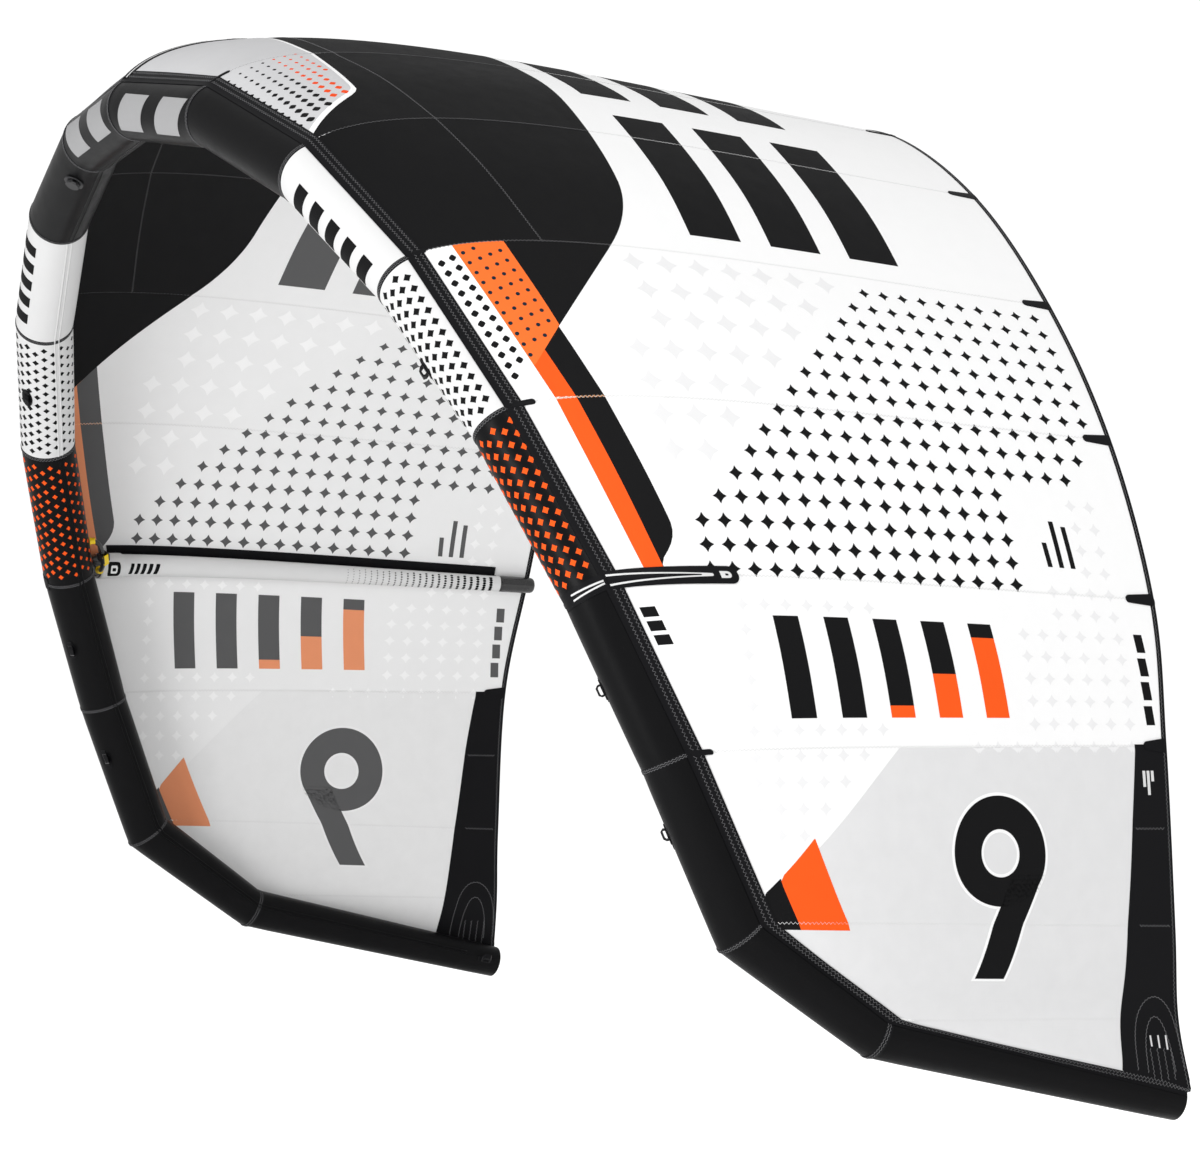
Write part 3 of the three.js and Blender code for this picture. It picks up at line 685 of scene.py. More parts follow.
def rearOfBlack(q):
    return smoothMin(areas["blackRear"] - areas["blackBow"] * q ** 2, straight("blackSide", q), 0.09)


def frontOfOrange(q):
    start = edges["orangeFront"][0]
    return straight("orangeFront", q) - 0.05 * (q - start) * (areas["stripeEnd"] - q)


def rearOfStripe(q):
    return smoothMin(straight("stripeRear", q), straight("stripeFoot", q), 0.035)


def frontOfCloth(q):
    return frontEdge(q) + areas["covered"]


def rearOfCloth(q):
    return canopyPoint(seamNumber(q), 1)[..., 1] - 0.002


def notBelow(upper, lower, gap=0.001):
    # The upper edge, kept a hair above the lower one where the two meet
    return lambda q: np.maximum(upper(q), lower(q) + gap)


def makeBigPrints():
    rearOfDots, footOfDots, frontOfStripe = (lambda q, name=name: straight(name, q)
                                             for name in ("dotsRear", "dotsFoot", "stripeFront"))
    greyFront = lambda q: np.maximum(straight("greyFront", q), frontOfCloth(q))
    blackEnd, dotsEnd, footEnd = areas["blackEnd"], areas["dotsEnd"], areas["footEnd"]
    stripeFrom, stripeEnd = areas["stripeFrom"], areas["stripeEnd"]
    centre = regionShells((-blackEnd, blackEnd), frontOfCloth, lambda q: rearOfBlack(np.abs(q)), wings=(1,))
    centre += regionShells((blackEnd, dotsEnd - 0.0005), rearOfDots, rearOfBlack)
    behindFront = notBelow(rearOfBlack, frontOfCloth)
    centre += regionShells((blackEnd, areas["insideEnd"]), frontOfCloth, behindFront, 3, sides=(-1,))
    stripe = regionShells((dotsEnd + 0.001, stripeFrom), footOfDots, rearOfStripe)
    stripe += regionShells((stripeFrom, stripeEnd), frontOfStripe, notBelow(rearOfStripe, frontOfStripe))
    pale = regionShells((blackEnd + 0.0005, dotsEnd), frontOfOrange, rearOfDots)
    pale += regionShells((dotsEnd, footEnd), frontOfOrange, notBelow(footOfDots, frontOfOrange))
    deep = regionShells((stripeFrom, footEnd), footOfDots, frontOfStripe)
    deep += regionShells((footEnd, areas["orangeEnd"]), frontOfOrange, frontOfStripe)
    tail = regionShells((seamQ[6] + 0.002, seamQ[9] - 0.03), greyFront, rearOfCloth)
    plan = [
        ("black_centre", centre, "black", "darkInside", "canopy_black"),
        ("black_stripe", stripe, "black", "blackInside", "canopy_black"),
        ("orange_dotted", pale, "paleOrange", "orangeInside", "sleeve_orange"),
        ("orange_stripe", deep, "orange", "orangeInside", "sleeve_orange"),
        ("grey_tip", tail, "grey", "greyInside", "canopy_white"),
    ]
    return [makePiece("print_" + name, shells, [prints[outside], prints[inside]])
            for name, shells, outside, inside, slotName in plan]


crown = {"corner": 0.745, "side": 0.154, "rear": 0.262, "border": 0.008, "white": 0.83, "grey": 0.81,
         "origin": (0.441, 0.0443), "across": (-0.0072, 0.0280), "along": (0.02645, 0.0031),
         "blackRows": 4, "rows": 7, "columns": 13, "least": 0.0034, "growth": 0.0062}


def makeCrownPatch():
    # White edged grey patch over the crown, its outer corner rounded, with rows of growing diamonds
    def rear(q):
        past = np.abs(q) - crown["corner"]
        side = crown["side"] - 1.1 * past + 2.8 * past ** 2
        return smoothMin(crown["rear"] - 0.025 * np.abs(q), side, 0.03)

    inner = lambda q: rear(np.abs(q) + 0.012) - crown["border"]
    shells = regionShells((-crown["white"], crown["white"]), frontOfCloth, rear, 2, sides=(1,), wings=(1,))
    shells += regionShells((-crown["grey"], crown["grey"]), frontOfCloth, inner, 3, (1, 1), (1,), (1,))
    place = (crown["origin"], crown["across"], crown["along"])
    spots, i, j = lattice(*place, (0, crown["rows"]), (0, crown["columns"]))
    keep = (spots[:, 1] < rear(spots[:, 0]) - 0.018) & (spots[:, 0] < crown["corner"] + 0.02)
    spots, i, j = spots[keep], i[keep], j[keep]
    size = crown["least"] + crown["growth"] * j / (crown["columns"] - 1)
    for rows, finish in ((i < crown["blackRows"], 2), (i >= crown["blackRows"], 3)):
        shells += shapeShells(clothSpot, spots[rows], diamond, size[rows], 4, (finish, finish), (1,))
    return makePiece("print_crown_patch", shells,
                     [prints["white"], prints["patchGrey"], prints["black"], prints["red"]])


starField = {"origin": (1.302, 0.603), "alongQ": 0.0508, "alongY": 0.0495, "rows": 15, "columns": 22,
             "least": 0.0135, "growth": 0.0033, "ghost": 0.026, "ghostPitch": 0.078}


def makeStarFields():
    # Black stars in a slanting field; rows are steps of q and columns steps of y
    field = starField
    rows, columns = np.meshgrid(np.arange(field["rows"]), np.arange(field["columns"]), indexing="ij")
    rows, columns = rows.ravel(), columns.ravel()
    firstColumn = np.clip(12 - rows, 0, None)
    lastColumn = np.select([rows < 7, rows < 9, rows < 10], [21, 20, 19], 15)
    keep = (columns >= firstColumn) & (columns <= lastColumn)
    rows, columns = rows[keep], columns[keep]
    centres = np.array(field["origin"]) + np.stack([field["alongQ"] * rows, field["alongY"] * columns], 1)
    sizes = field["least"] + field["growth"] * rows / (field["rows"] - 1)
    stars = shapeShells(clothSpot, centres, star, sizes, 1)
    made = [makePiece("print_stars", stars, [prints["black"], prints["blackInside"]])]

    # Pale stars: a wide lattice in front of the black field, and two fine ones behind and below it
    pitch = field["ghostPitch"]
    fine = ((field["alongQ"], 0.0), (0.0, field["alongY"]))
    wide = lattice((1.607, 0.566), (pitch, 0.003), (0.0, pitch), (-4, 3), (0, 11))[0]
    behind = lattice((1.82, 1.19), *fine, (0, 12), (0, 9))[0]
    below = lattice((2.085, 0.66), *fine, (0, 10), (0, 8))[0]
    q, y = wide.T
    inWide = (y > rearOfBlack(q) + 0.05) & (y > 0.56) & (y < 1.12 - 0.98 * (q - 1.302)) & (y < 1.25)
    q, y = behind.T
    inBehind = ((q > 2.08) | (y > 1.40)) & (y < 1.60) & ~((q < 2.0) & (y < 1.52)) & ((q > 2.33) | (y > 1.33))
    q, y = below.T
    inBelow = (y < 1.0) & (y < straight("greyFront", q) - 0.034) & ((q < 2.09) | (y < 0.70) | (q > 2.33))
    ghosts = []
    for spots, size in ((wide[inWide], field["ghost"]), (behind[inBehind], 0.015), (below[inBelow], 0.014)):
        ghosts += shapeShells(clothSpot, spots, star, np.full(len(spots), size), 1)
    finishes = [prints["ghost"], prints["ghostInside"]]
    made.append(makePiece("print_pale_stars", ghosts, finishes))
    return made


bandDots = {"origin": (1.283, 0.232), "across": (0.008, -0.024), "along": (0.0265, 0.0067),
            "diamond": 0.0078, "dot": 0.0045}


def makeBandDiamonds():
    # Diamonds on the white band before the orange, and dots on the orange, in one lattice
    place = (bandDots["origin"], bandDots["across"], bandDots["along"])
    band, i, j = lattice(*place, (0, 3), (0, 13))
    band = band[j <= 10 + i]
    shells = shapeShells(clothSpot, band, diamond, np.full(len(band), bandDots["diamond"]), 1)
    dots = lattice(*place, (-5, 0), (-1, 12))[0]
    q, y = dots.T
    ahead = np.minimum(straight("dotsRear", q), straight("dotsFoot", q)) - 0.008
    dots = dots[(y > frontOfOrange(q) + 0.006) & (y < ahead) & (q > 1.262)]
    shells += shapeShells(clothSpot, dots, dot12, np.full(len(dots), bandDots["dot"]), 2, (2, 2))
    return makePiece("print_band_diamonds", shells,
                     [prints["black"], prints["blackInside"], prints["night"]])


marks = {
    "blocks": ((0.17, 0.60), (0.72, 1.19)), "blockRows": (0.83, 1.03, 1.23), "blockWide": 0.125,
    "bars": (2.107, 2.315), "barFrom": 0.725, "barPitch": 0.118, "barWide": 0.058,
    "barSplit": (0, 0, 0.12, 0.45, 0.85),
    "lines": (0.055, 0.105, 0.095), "linesEnd": 1.965, "dashes": 4, "ticks": 3,
}


def leaningBar(q0, q1, y0, y1, lean):
    # A bar between q0 and q1 whose two edges move by lean from one end to the other
    way = lambda q: lean * (q - q0) / (q1 - q0)
    return (q0, q1), lambda q: y0 + way(q), lambda q: y1 + way(q)


def makePlainMarks():
    # Plain bars, blocks and dashes in the places where a kite carries its lettering
    black, orange = (0, 1), (2, 3)
    bars = []
    for q0, q1 in marks["blocks"]:
        for y0 in marks["blockRows"]:
            bars.append(((q0, q1, y0, y0 + marks["blockWide"], -0.02), black))
    start, end = marks["bars"]
    for k, share in enumerate(marks["barSplit"]):
        y0 = marks["barFrom"] + marks["barPitch"] * k
        y1 = y0 + 0.02 * (1 - share)
        cut = end - (end - start) * share
        if share < 1:
            bars.append(((start, cut, y0, y0 + marks["barWide"], 0.02 * (1 - share)), black))
        if share > 0:
            bars.append(((cut, end, y1, y1 + marks["barWide"], 0.02 * share), orange))
    for k, length in enumerate(marks["lines"]):
        y0 = 1.435 + 0.03 * k
        bars.append(((marks["linesEnd"] - length, marks["linesEnd"], y0, y0 + 0.012, 0.004), black))
    for k in range(marks["dashes"]):
        q0 = 2.112 + 0.058 * k
        bars.append(((q0, q0 + 0.044, 1.628, 1.650, 0.003), black))
    for k in range(marks["ticks"]):
        q0, y0 = 2.085 + 0.028 * k, 0.445 + 0.012 * k
        bars.append(((q0, q0 + 0.02, y0, y0 + 0.03, 0.008), black))
    shells = []
    for bar, colours in bars:
        shells += regionShells(*leaningBar(*bar), 1, colours)
    finishes = [prints["black"], prints["blackInside"], prints["orange"], prints["orangeInside"]]
    return makePiece("print_plain_marks", shells, finishes)


numeral = {"centre": (2.575, 1.2255), "hole": (0.045, 0.048), "bowl": (0.106, 0.115), "tail": (0.040, 0.257),
           "inner": (0.108, -0.0028, -0.464), "outer": (0.024, 0.1125, -0.4845), "border": 0.006,
           "crownCentre": (-0.15, 0.13), "crownScale": -0.5}


def numeralShells(wing, grow=0.0, level=2, finishes=(0, 1), centre=numeral["centre"], scale=1.0,
                  sides=(1, -1)):
    # The numeral nine: a ring between two ellipses, and a slanting tail between two straight edges
    angle = np.linspace(0, 2 * np.pi, 121)[:, None]
    share = np.linspace(0, 1, 7)
    (holeX, holeY), (bowlX, bowlY) = numeral["hole"], numeral["bowl"]
    ringX = np.cos(angle) * (holeX - grow + (bowlX - holeX + 2 * grow) * share)
    ringY = np.sin(angle) * (holeY - grow + (bowlY - holeY + 2 * grow) * share)
    tailX = np.linspace(numeral["tail"][0], numeral["tail"][1] + grow, 24)[:, None] + 0 * share
    low, high = (y0 + slope * (tailX - x0) for x0, y0, slope in (numeral["inner"], numeral["outer"]))
    tailY = low - 1.1 * grow + (high - low + 2.2 * grow) * share
    shells = []
    for side in sides:
        finish = finishes[0] if side > 0 else finishes[1]
        for part, x, y in (("ring", ringX, ringY), ("tail", tailX, tailY)):
            x, y = centre[0] + scale * x, centre[1] + scale * y * wing
            over = clothSpot(wing * x, y, side * (sail["halfCloth"] + layer * level))
            under = clothSpot(wing * x, y, side * (sail["halfCloth"] - 0.0001))
            uv = np.stack([x, y], -1)
            if part == "tail":
                shells.append(sheetShell(over, under, uv, finish))
                continue
            rings = np.concatenate([over[:-1], under[:-1, ::-1]], 1)
            index = np.arange(rings.shape[0] * rings.shape[1]).reshape(rings.shape[:2])
            index = np.vstack([index, index[:1]])
            index = np.hstack([index, index[:, :1]])
            uv = np.concatenate([uv, uv[:, ::-1], uv[:, :1]], 1)
            shells.append(makeShell(rings, [quadGrid(index)], [quadGrid(uv)], finish))
    return shells


def makeNumerals():
    shells = []
    for wing in (1, -1):
        shells += numeralShells(wing, numeral["border"], 2, (2, 3))
        shells += numeralShells(wing, 0.0, 3)
    shells += numeralShells(1, 0.0, 5, (0, 0), numeral["crownCentre"], numeral["crownScale"], (1,))
    # The white border's inner face takes the darker inner white tone, which is painted shade.
    finishes = [prints["black"], prints["blackInside"], prints["white"], prints["shadedWhiteInside"]]
    return makePiece("print_numerals", shells, finishes)


triangle = {"apex": (2.547, 0.7814), "foot": 2.736, "rear": 0.859, "rearSlope": 0.418, "frontSlope": -0.905,
            "split": (2.6247, 0.7047, 0.428), "splitFrom": 2.629, "thin": 0.0008}


def makeTriangle():
    # Front edge along the tape, apex towards the rear; a slanting line parts black from orange
    apexQ, apexY = triangle["apex"]
    splitQ, splitY, splitSlope = triangle["split"]
    thin = triangle["thin"]
    upper = lambda q: np.minimum(apexY + triangle["rearSlope"] * (q - apexQ), triangle["rear"])
    lower = lambda q: np.maximum(apexY + triangle["frontSlope"] * (q - apexQ), frontEdge(q) + 0.02)
    split = lambda q: splitY + splitSlope * (q - splitQ)
    orangeLow = lambda q: np.minimum(np.maximum(lower(q), split(q)), upper(q) - thin)
    shells = regionShells((apexQ + 0.001, triangle["foot"]), orangeLow, upper, 2, (2, 3))
    shells += regionShells((triangle["splitFrom"], triangle["foot"]), lower, notBelow(split, lower, thin), 2)
    finishes = [prints["black"], prints["blackInside"], prints["orange"], prints["orangeInside"]]
    return makePiece("print_triangle", shells, finishes)


tipStrip = {"frontQ": (2.384, 2.515, 3.060), "frontY": (1.593, 1.573, 1.510), "from": 2.372,
            "markLengths": (0.030, 0.045, 0.020), "arches": ((0.205, 0.062), (0.150, 0.036)),
            "archFoot": (3.085, 1.612), "lines": (1.590, 1.608, 1.626, 1.644), "crossAt": 2.53,
            "stitchLift": 0.0016}


def makeTipStrip():
    # Black sewn strip along the trailing edge near the tip, with stitched arches at its foot
    front = lambda q: np.interp(q, tipStrip["frontQ"], tipStrip["frontY"])
    shells = regionShells((tipStrip["from"], seamQ[9] - 0.0012), front, rearOfCloth, 3, (0, 0))
    for k, length in enumerate(tipStrip["markLengths"]):
        q0, y0, y1 = 2.425, 1.607 + 0.011 * k, 1.594 + 0.020 * k
        shells += regionShells((q0, q0 + length), y0, y0 + 0.007, 4, (1, 1), (1,))
        shells += regionShells((2.977, 3.003 + 0.004 * k), y1, y1 + 0.004, 4, (1, 1), (1,))
    footQ, footY = tipStrip["archFoot"]
    paths = []
    for reach, half in tipStrip["arches"]:
        turn = np.linspace(-1.5, 1.5, 60)
        paths.append((footQ - reach * np.cos(turn) ** 0.8, footY + half * np.sin(turn), 0.0012))
    for y0 in tipStrip["lines"]:
        q = np.linspace(3.008, footQ, 20)
        paths.append((q, y0 + 0 * q, 0.0016))
    y = np.linspace(1.580, 1.655, 20)
    paths.append((tipStrip["crossAt"] + 0 * y, y, None))
    for face in (1, -1):
        for wing in (1, -1):
            for q, y, swing in paths:
                shells.append(clothThread(wing * q, y, face, swing, 2, tipStrip["stitchLift"]))
    return makePiece("tip_strip", shells, [tapeBlack, threadPale, threadGrey])


clothPieces = makeBigPrints() + [makeCrownPatch()] + makeStarFields()
clothPieces += [makeBandDiamonds(), makePlainMarks(), makeNumerals(), makeTriangle(), makeTipStrip()]
print("prints made")

# ---- tapes, hems, tabs and seams on the cloth

trim = {"tapeBehind": 0.026, "tapeOnTube": 0.010, "tapeThick": 0.0008, "hem": 0.011}


def tubeRadius(u):
    radii = np.append(sail["midRadius"], np.array(sail["tube"])[:, 3])
    return np.interp(np.abs(u), np.arange(lastSeam + 1), radii)


def edgeTape():
    # Strip over the join of tube and canopy: a few points round the tube, then back over the cloth
    u = np.linspace(-lastSeam + 0.012, lastSeam - 0.012, 2 * lastSeam * 16 + 1)
    seam = np.radians(np.interp(np.abs(u), np.arange(lastSeam + 1), np.array(sail["canopy"])[:, 0]))
    radius = tubeRadius(u)
    handle = np.linalg.norm(canopyPoint(u, 0.02) - canopyPoint(u, 0), axis=-1) / 0.02
    columns = []
    for lift in (trim["tapeThick"], 0.0):
        rows = [tubePoint(u, seam - trim["tapeOnTube"] / radius, 0.0006 + lift),
                tubePoint(u, seam - 0.4 * trim["tapeOnTube"] / radius, 0.0014 + lift)]
        for back in np.linspace(0.002, trim["tapeBehind"], 6):
            rows.append(clothPoint(u, np.minimum(back / handle, 0.5), sail["halfCloth"] + 0.0012 + lift))
        columns.append(np.stack(rows, 1))
    uv = np.stack(np.meshgrid(u * 0.35, np.linspace(0, 0.03, 8), indexing="ij"), -1)
    shells = [sheetShell(columns[0], columns[1], uv)]
    for share in (0.2, 0.72):
        back = 0.002 + (trim["tapeBehind"] - 0.002) * share
        line = clothPoint(u, np.minimum(back / handle, 0.5), sail["halfCloth"] + 0.0014 + trim["tapeThick"])
        over = clothPoint(u, np.minimum(back / handle, 0.5), sail["halfCloth"] + 0.012)
        shells.append(threadShell(*evenPath(line, unit(over - line), stitch["cycle"] / 2), 0.0026, 1))
    return makePiece("edge_tape", shells, [tapeBlack, threadGrey])


def rearHem():
    # Folded tape round the trailing edge: one closed section carried along the whole edge
    u = np.linspace(-lastSeam + 0.03, lastSeam - 0.03, 2 * lastSeam * 16 + 1)
    rate = np.maximum(np.linalg.norm(canopyPoint(u, 1) - canopyPoint(u, 0.98), axis=-1) / 0.02, 0.03)
    upper = [(trim["hem"], 0.0006), (trim["hem"], 0.0013), (0.004, 0.0016), (0.0, 0.0016), (-0.0016, 0.0010)]
    lower = [(back, -lift) for back, lift in upper[::-1]]
    section = upper + [(-0.0022, 0.0)] + lower + [(0.002, -0.0006), (0.002, 0.0006)]
    rings = [clothPoint(u, 1 - back / rate, lift + np.sign(lift) * 0.0003) for back, lift in section]
    rings = np.stack(rings, 1)
    along = np.stack(np.meshgrid(u * 0.35, np.linspace(0, 0.03, len(section) + 1), indexing="ij"), -1)
    shells = [tubeShell(rings, along)]
    for side in (1, -1):
        line = clothPoint(u, 1 - 0.0065 / rate, side * 0.0020)
        over = clothPoint(u, 1 - 0.0065 / rate, side * 0.012)
        shells.append(threadShell(*evenPath(line, unit(over - line), stitch["cycle"] / 2), 0.0018, 1))
    return makePiece("rear_hem", shells, [tapeBlack, threadGrey])


def seamTab(u, vFrom, vTo, halfStart, halfEnd, lift, side=1, finish=0):
    # Strip along a seam with one rounded end: its half width tapers, then follows a half circle
    share = 1 - np.linspace(1, 0, 36) ** 2.4
    v = vFrom + (vTo - vFrom) * share
    line = canopyPoint(np.full(36, float(u)), v)
    reach = np.append(0, np.cumsum(np.linalg.norm(np.diff(line, axis=0), axis=1)))
    half = halfStart + (halfEnd - halfStart) * share
    left = np.clip((reach[-1] - reach) / halfEnd, 0, 1)
    half = half * np.sqrt(np.clip(1 - (1 - left) ** 2, 0.004, 1))
    # Metres per seam number here, which turns a width into seam numbers
    step = 0.02
    width = np.linalg.norm(canopyPoint(u + step, v) - canopyPoint(u - step, v), axis=-1) / (2 * step)
    spread = np.linspace(-1, 1, 7)
    uGrid = u + half[:, None] / width[:, None] * spread
    vGrid = np.broadcast_to(v[:, None], uGrid.shape)
    crown = 0.0004 * (1 - spread ** 2)
    top = clothPoint(uGrid, vGrid, side * (sail["halfCloth"] + lift + crown))
    bottom = clothPoint(uGrid, vGrid, side * (sail["halfCloth"] - 0.0001) + 0 * crown)
    uv = np.stack([uGrid * 0.35, vGrid], -1)
    return sheetShell(top, bottom, uv, finish)


def makeTabs():
    shells = []
    for side in (1, -1):
        for k, length, half in ((1, 0.030, 0.005), (3, 0.010, 0.005), (4, 0.028, 0.006), (6, 0.022, 0.006)):
            rate = np.linalg.norm(canopyPoint(side * k, 0.03) - canopyPoint(side * k, 0), axis=-1) / 0.03
            shells.append(seamTab(side * k, 0.004, float((0.022 + length) / rate), half, half, 0.0024))
        for k in range(1, 7):
            rate = np.linalg.norm(canopyPoint(side * k, 1) - canopyPoint(side * k, 0.97), axis=-1) / 0.03
            length, wide = (0.075, 0.014) if k < 6 else (0.06, 0.016)
            for face in (1, -1):
                vTo = float(1 - length / rate)
                shells.append(seamTab(side * k, 1.0, vTo, wide, 0.008, 0.0020, side=face))
    rate = np.linalg.norm(canopyPoint(0, 1) - canopyPoint(0, 0.97), axis=-1) / 0.03
    shells.append(seamTab(0, 1.0, float(1 - 0.075 / rate), 0.014, 0.008, 0.0020))
    return makePiece("seam_tabs", shells, [tapeBlack])


def makeStrutPatches():
    # Long sewn patch over each strut's front end: two white lines run together towards a pale square
    shells = []
    for u, end in ((0, 0.30), (5, 0.332), (-5, 0.332)):
        shells.append(seamTab(u, 0.002, end, 0.0195, 0.0190, 0.0028))
        shells.append(seamTab(u, 0.004, end * 0.84, 0.0125, 0.0030, 0.0033, finish=1))
        shells.append(seamTab(u, 0.003, end * 0.76, 0.0080, 0.0012, 0.0038))
        shells.append(seamTab(u, end * 0.885, end * 0.955, 0.0075, 0.0072, 0.0036, finish=1))
        shells.append(seamTab(u, end * 0.915, end * 0.935, 0.0022, 0.0022, 0.0040))
        if u == 0:
            continue
        # the patch goes on round the front of the tube, over its seam
        seam = sail["canopy"][5][0]
        shells.append(tubeStrip(u, -106, seam - 2, -0.017, 0.017, 0.0016, 0))
        for edge in (-1, 1):
            shells.append(tubeStrip(u, -72, seam - 6, edge * 0.0060, edge * 0.0030, 0.0021, 1, 0.0019))
    return makePiece("strut_patches", shells, [tapeBlack, threadPale])


def tubeStrip(u, fromAngle, toAngle, atStart, atEnd, lift, finish, half=None):
    # Strip round the tube at a seam: from one edge to the other, or a line of the given half width
    angle = np.radians(np.linspace(fromAngle, toAngle, 48))[:, None]
    if half is None:
        across = np.linspace(atStart, atEnd, 9)[None, :] + 0 * angle
    else:
        across = np.linspace(atStart, atEnd, 48)[:, None] + half * np.linspace(-1, 1, 3)
    place = u + across / leadingEdge["patchPanel"]
    angle = angle + 0 * across
    uv = np.stack([across, angle * 0.06], -1)
    return sheetShell(tubePoint(place, angle, lift), tubePoint(place, angle, 0.0004), uv, finish)


def makeSeams():
    # Zigzag lines on every seam, dark grey where the cloth is black and pale where it is white
    outerDark, outerPale = [], []
    for face in (1, -1):
        for k in range(-8, 9):
            q = seamQ[abs(k)] * (1 if k >= 0 else -1)
            front = float(frontEdge(np.array([q]))[0]) + 0.028
            rear = float(canopyPoint(k, 1)[1]) - 0.014
            edge = float(rearOfBlack(abs(q))) if abs(q) < 1.26 else front
            stripes = []
            if abs(k) == 4:
                stripes = [(frontOfOrange(abs(q)), float(rearOfStripe(abs(q))))]
            for low, high, dark in [(front, edge, True), (edge, rear, False)]:
                if high - low > 0.03:
                    y = np.linspace(low, high, max(int((high - low) / 0.01), 4))
                    made, finish, lift = (outerDark, 0, 0.0007) if dark else (outerPale, 1, 0.0004)
                    made.append(clothThread(np.full(y.shape, q), y, face, None, finish, lift))
            for low, high in stripes:
                y = np.linspace(low, high, 24)
                outerDark.append(clothThread(np.full(y.shape, q), y, face, None, 2, 0.0008))
            if abs(k) == 7:
                y = np.linspace(1.58, rear, 12)
                outerDark.append(clothThread(np.full(y.shape, q), y, face, None, 0, 0.0014))
        # one row across the middle, bent straight behind the crown patch
        q = np.linspace(-1.25, 1.25, 260)
        y = frontEdge(q) + 0.28
        y = np.where(np.abs(q) > 0.84, y, np.maximum(y, 0.30))
        outerDark.append(clothThread(q, y, face, None, 0, 0.0007))
    darkThreads = [threadGrey, threadPale, threadOrange]
    return [makePiece("seam_stitching_dark", outerDark, darkThreads),
            makePiece("seam_stitching_pale", outerPale, darkThreads[:2])]


clothPieces += [edgeTape(), rearHem(), makeTabs(), makeStrutPatches()] + makeSeams()
print("tapes and seams made")

# ---- seam rings and the closing ridge of the tubes


def ringBand(k, half=0.006, lift=0.0009):
    # Low rounded band over a tube seam: the section's height falls to nothing at its two edges
    angle = np.linspace(0, 2 * np.pi, leadingEdge["around"], endpoint=False)
    across = np.linspace(-1, 1, 9)
    section = [(a, lift * (1 - a ** 4) + 0.0001) for a in across] + [(1.0, -0.0006), (-1.0, -0.0006)]
    spots = []
    for offset, height in section:
        u = np.clip(k + offset * half / leadingEdge["panel"], -lastSeam, lastSeam)
        spots.append(tubePoint(u, angle, height))
    rings = np.stack(spots)
    uv = np.stack(np.meshgrid(np.linspace(0, 0.012, len(spots)), np.linspace(0, 0.44, len(angle) + 1),
                              indexing="ij"), -1)
    return tubeShell(rings, uv, "wall")


def ringThread(k, offset):
    angle = np.linspace(0, 2 * np.pi, 181)
    u = k + offset / leadingEdge["panel"]
    line, over = tubePoint(u, angle, 0.0011), tubePoint(u, angle, 0.011)
    return threadShell(*evenPath(line, unit(over - line), 0.004), 0.0014, 1)


def ridgeShell(side, uFrom, uTo, angle, finish=0, half=0.0022, high=0.0016):
    # Sewn ridge along the tube: a low rounded section
    count = max(int((uTo - uFrom) * 12), 4)
    u = side * np.linspace(uFrom, uTo, count)
    radius = tubeRadius(u)
    section = [(-1, -0.3), (-0.8, 0.45), (-0.3, 0.95), (0.3, 0.95), (0.8, 0.45), (1, -0.3)]
    rings = np.stack([tubePoint(u, math.radians(angle) + a * half / radius, high * h) for a, h in section], 1)
    return tubeShell(rings, None, "flat", finish)


def makeTubeTrim():
    shells = []
    for k in range(-8, 9):
        shells.append(ringBand(k))
        shells += [ringThread(k, -0.0022), ringThread(k, 0.0022)]
    made = [makePiece("tube_seam_bands", shells, [tapeBlack, threadGrey])]
    ridges = []
    for side in (1, -1):
        for low, high, finish in ((0.02, 1.985, 0), (2.02, 3.985, 1), (4.02, 8.85, 0)):
            for angle in (leadingEdge["ridgeAngle"], leadingEdge["ridgeAngle"] + leadingEdge["ridgeApart"]):
                ridges.append(ridgeShell(side, low, high, angle, finish))
    made.append(makePiece("tube_ridges", ridges, [tubeBlack, tubeWhite]))
    return made


makeTubeTrim()

# ---- prints on the tubes


def tubePrints():
    # Hollow-sided diamonds in staggered rows round the tube; they shrink towards its rear
    shells = []
    columns, pitch = 20, 0.0296
    for low, high, finish, full in ((3, 4, 0, 0.0098), (4, 5, 1, 0.0086)):
        start, end = seamAlong[low] + 0.026, seamAlong[high] - 0.020
        i, j = np.meshgrid(np.arange(columns), np.arange(int((end - start) / pitch) + 1), indexing="ij")
        i, j = i.ravel(), j.ravel()
        turn = (14.5 + 18.0 * i) % 360
        along = start + pitch * (j + 0.5 * (i % 2))
        seamAt = sail["canopy"][low][0]
        keep = (along < end + 0.006) & (turn < seamAt % 360 - 9) & (turn > 62)
        turn, along = np.radians(turn[keep]), along[keep]
        front = np.cos((turn - np.radians(285)) / 2) ** 2
        shells += shapeShells(tubeSpot, np.stack([along, turn], 1), tubeStar, full * (0.72 + 0.28 * front), 1,
                              (finish, finish), (1,), base=0.0, turn=1 / 0.07)
    # plain bars on the white lengths and blocks over the crown
    for k in range(5):
        centre = seamAlong[2] + 0.085 + 0.068 * k
        shells += barOnTube(centre, 0.026, 234, 288, 2)
    shells += barOnTube(0.115, 0.082, 228, 300, 3) + barOnTube(0.305, 0.082, 228, 300, 3)
    finishes = [prints["black"], prints["orange"], prints["black"], prints["markGrey"]]
    return makePiece("print_tubes", shells, finishes)


def barOnTube(centre, half, fromAngle, toAngle, finish):
    # Leaning bar on the tube's surface, on both wings
    shells = []
    along, angle = np.meshgrid(np.linspace(-half, half, 9), np.radians(np.linspace(fromAngle, toAngle, 15)),
                               indexing="ij")
    along = centre + along * 0.72 + 0.25 * half * np.linspace(-1, 1, 15)
    for side in (1, -1):
        top, under = tubeSpot(side * along, angle, layer * 2), tubeSpot(side * along, angle, -0.0001)
        shells.append(sheetShell(top, under, np.stack([along, angle * 0.07], -1), finish))
    return shells


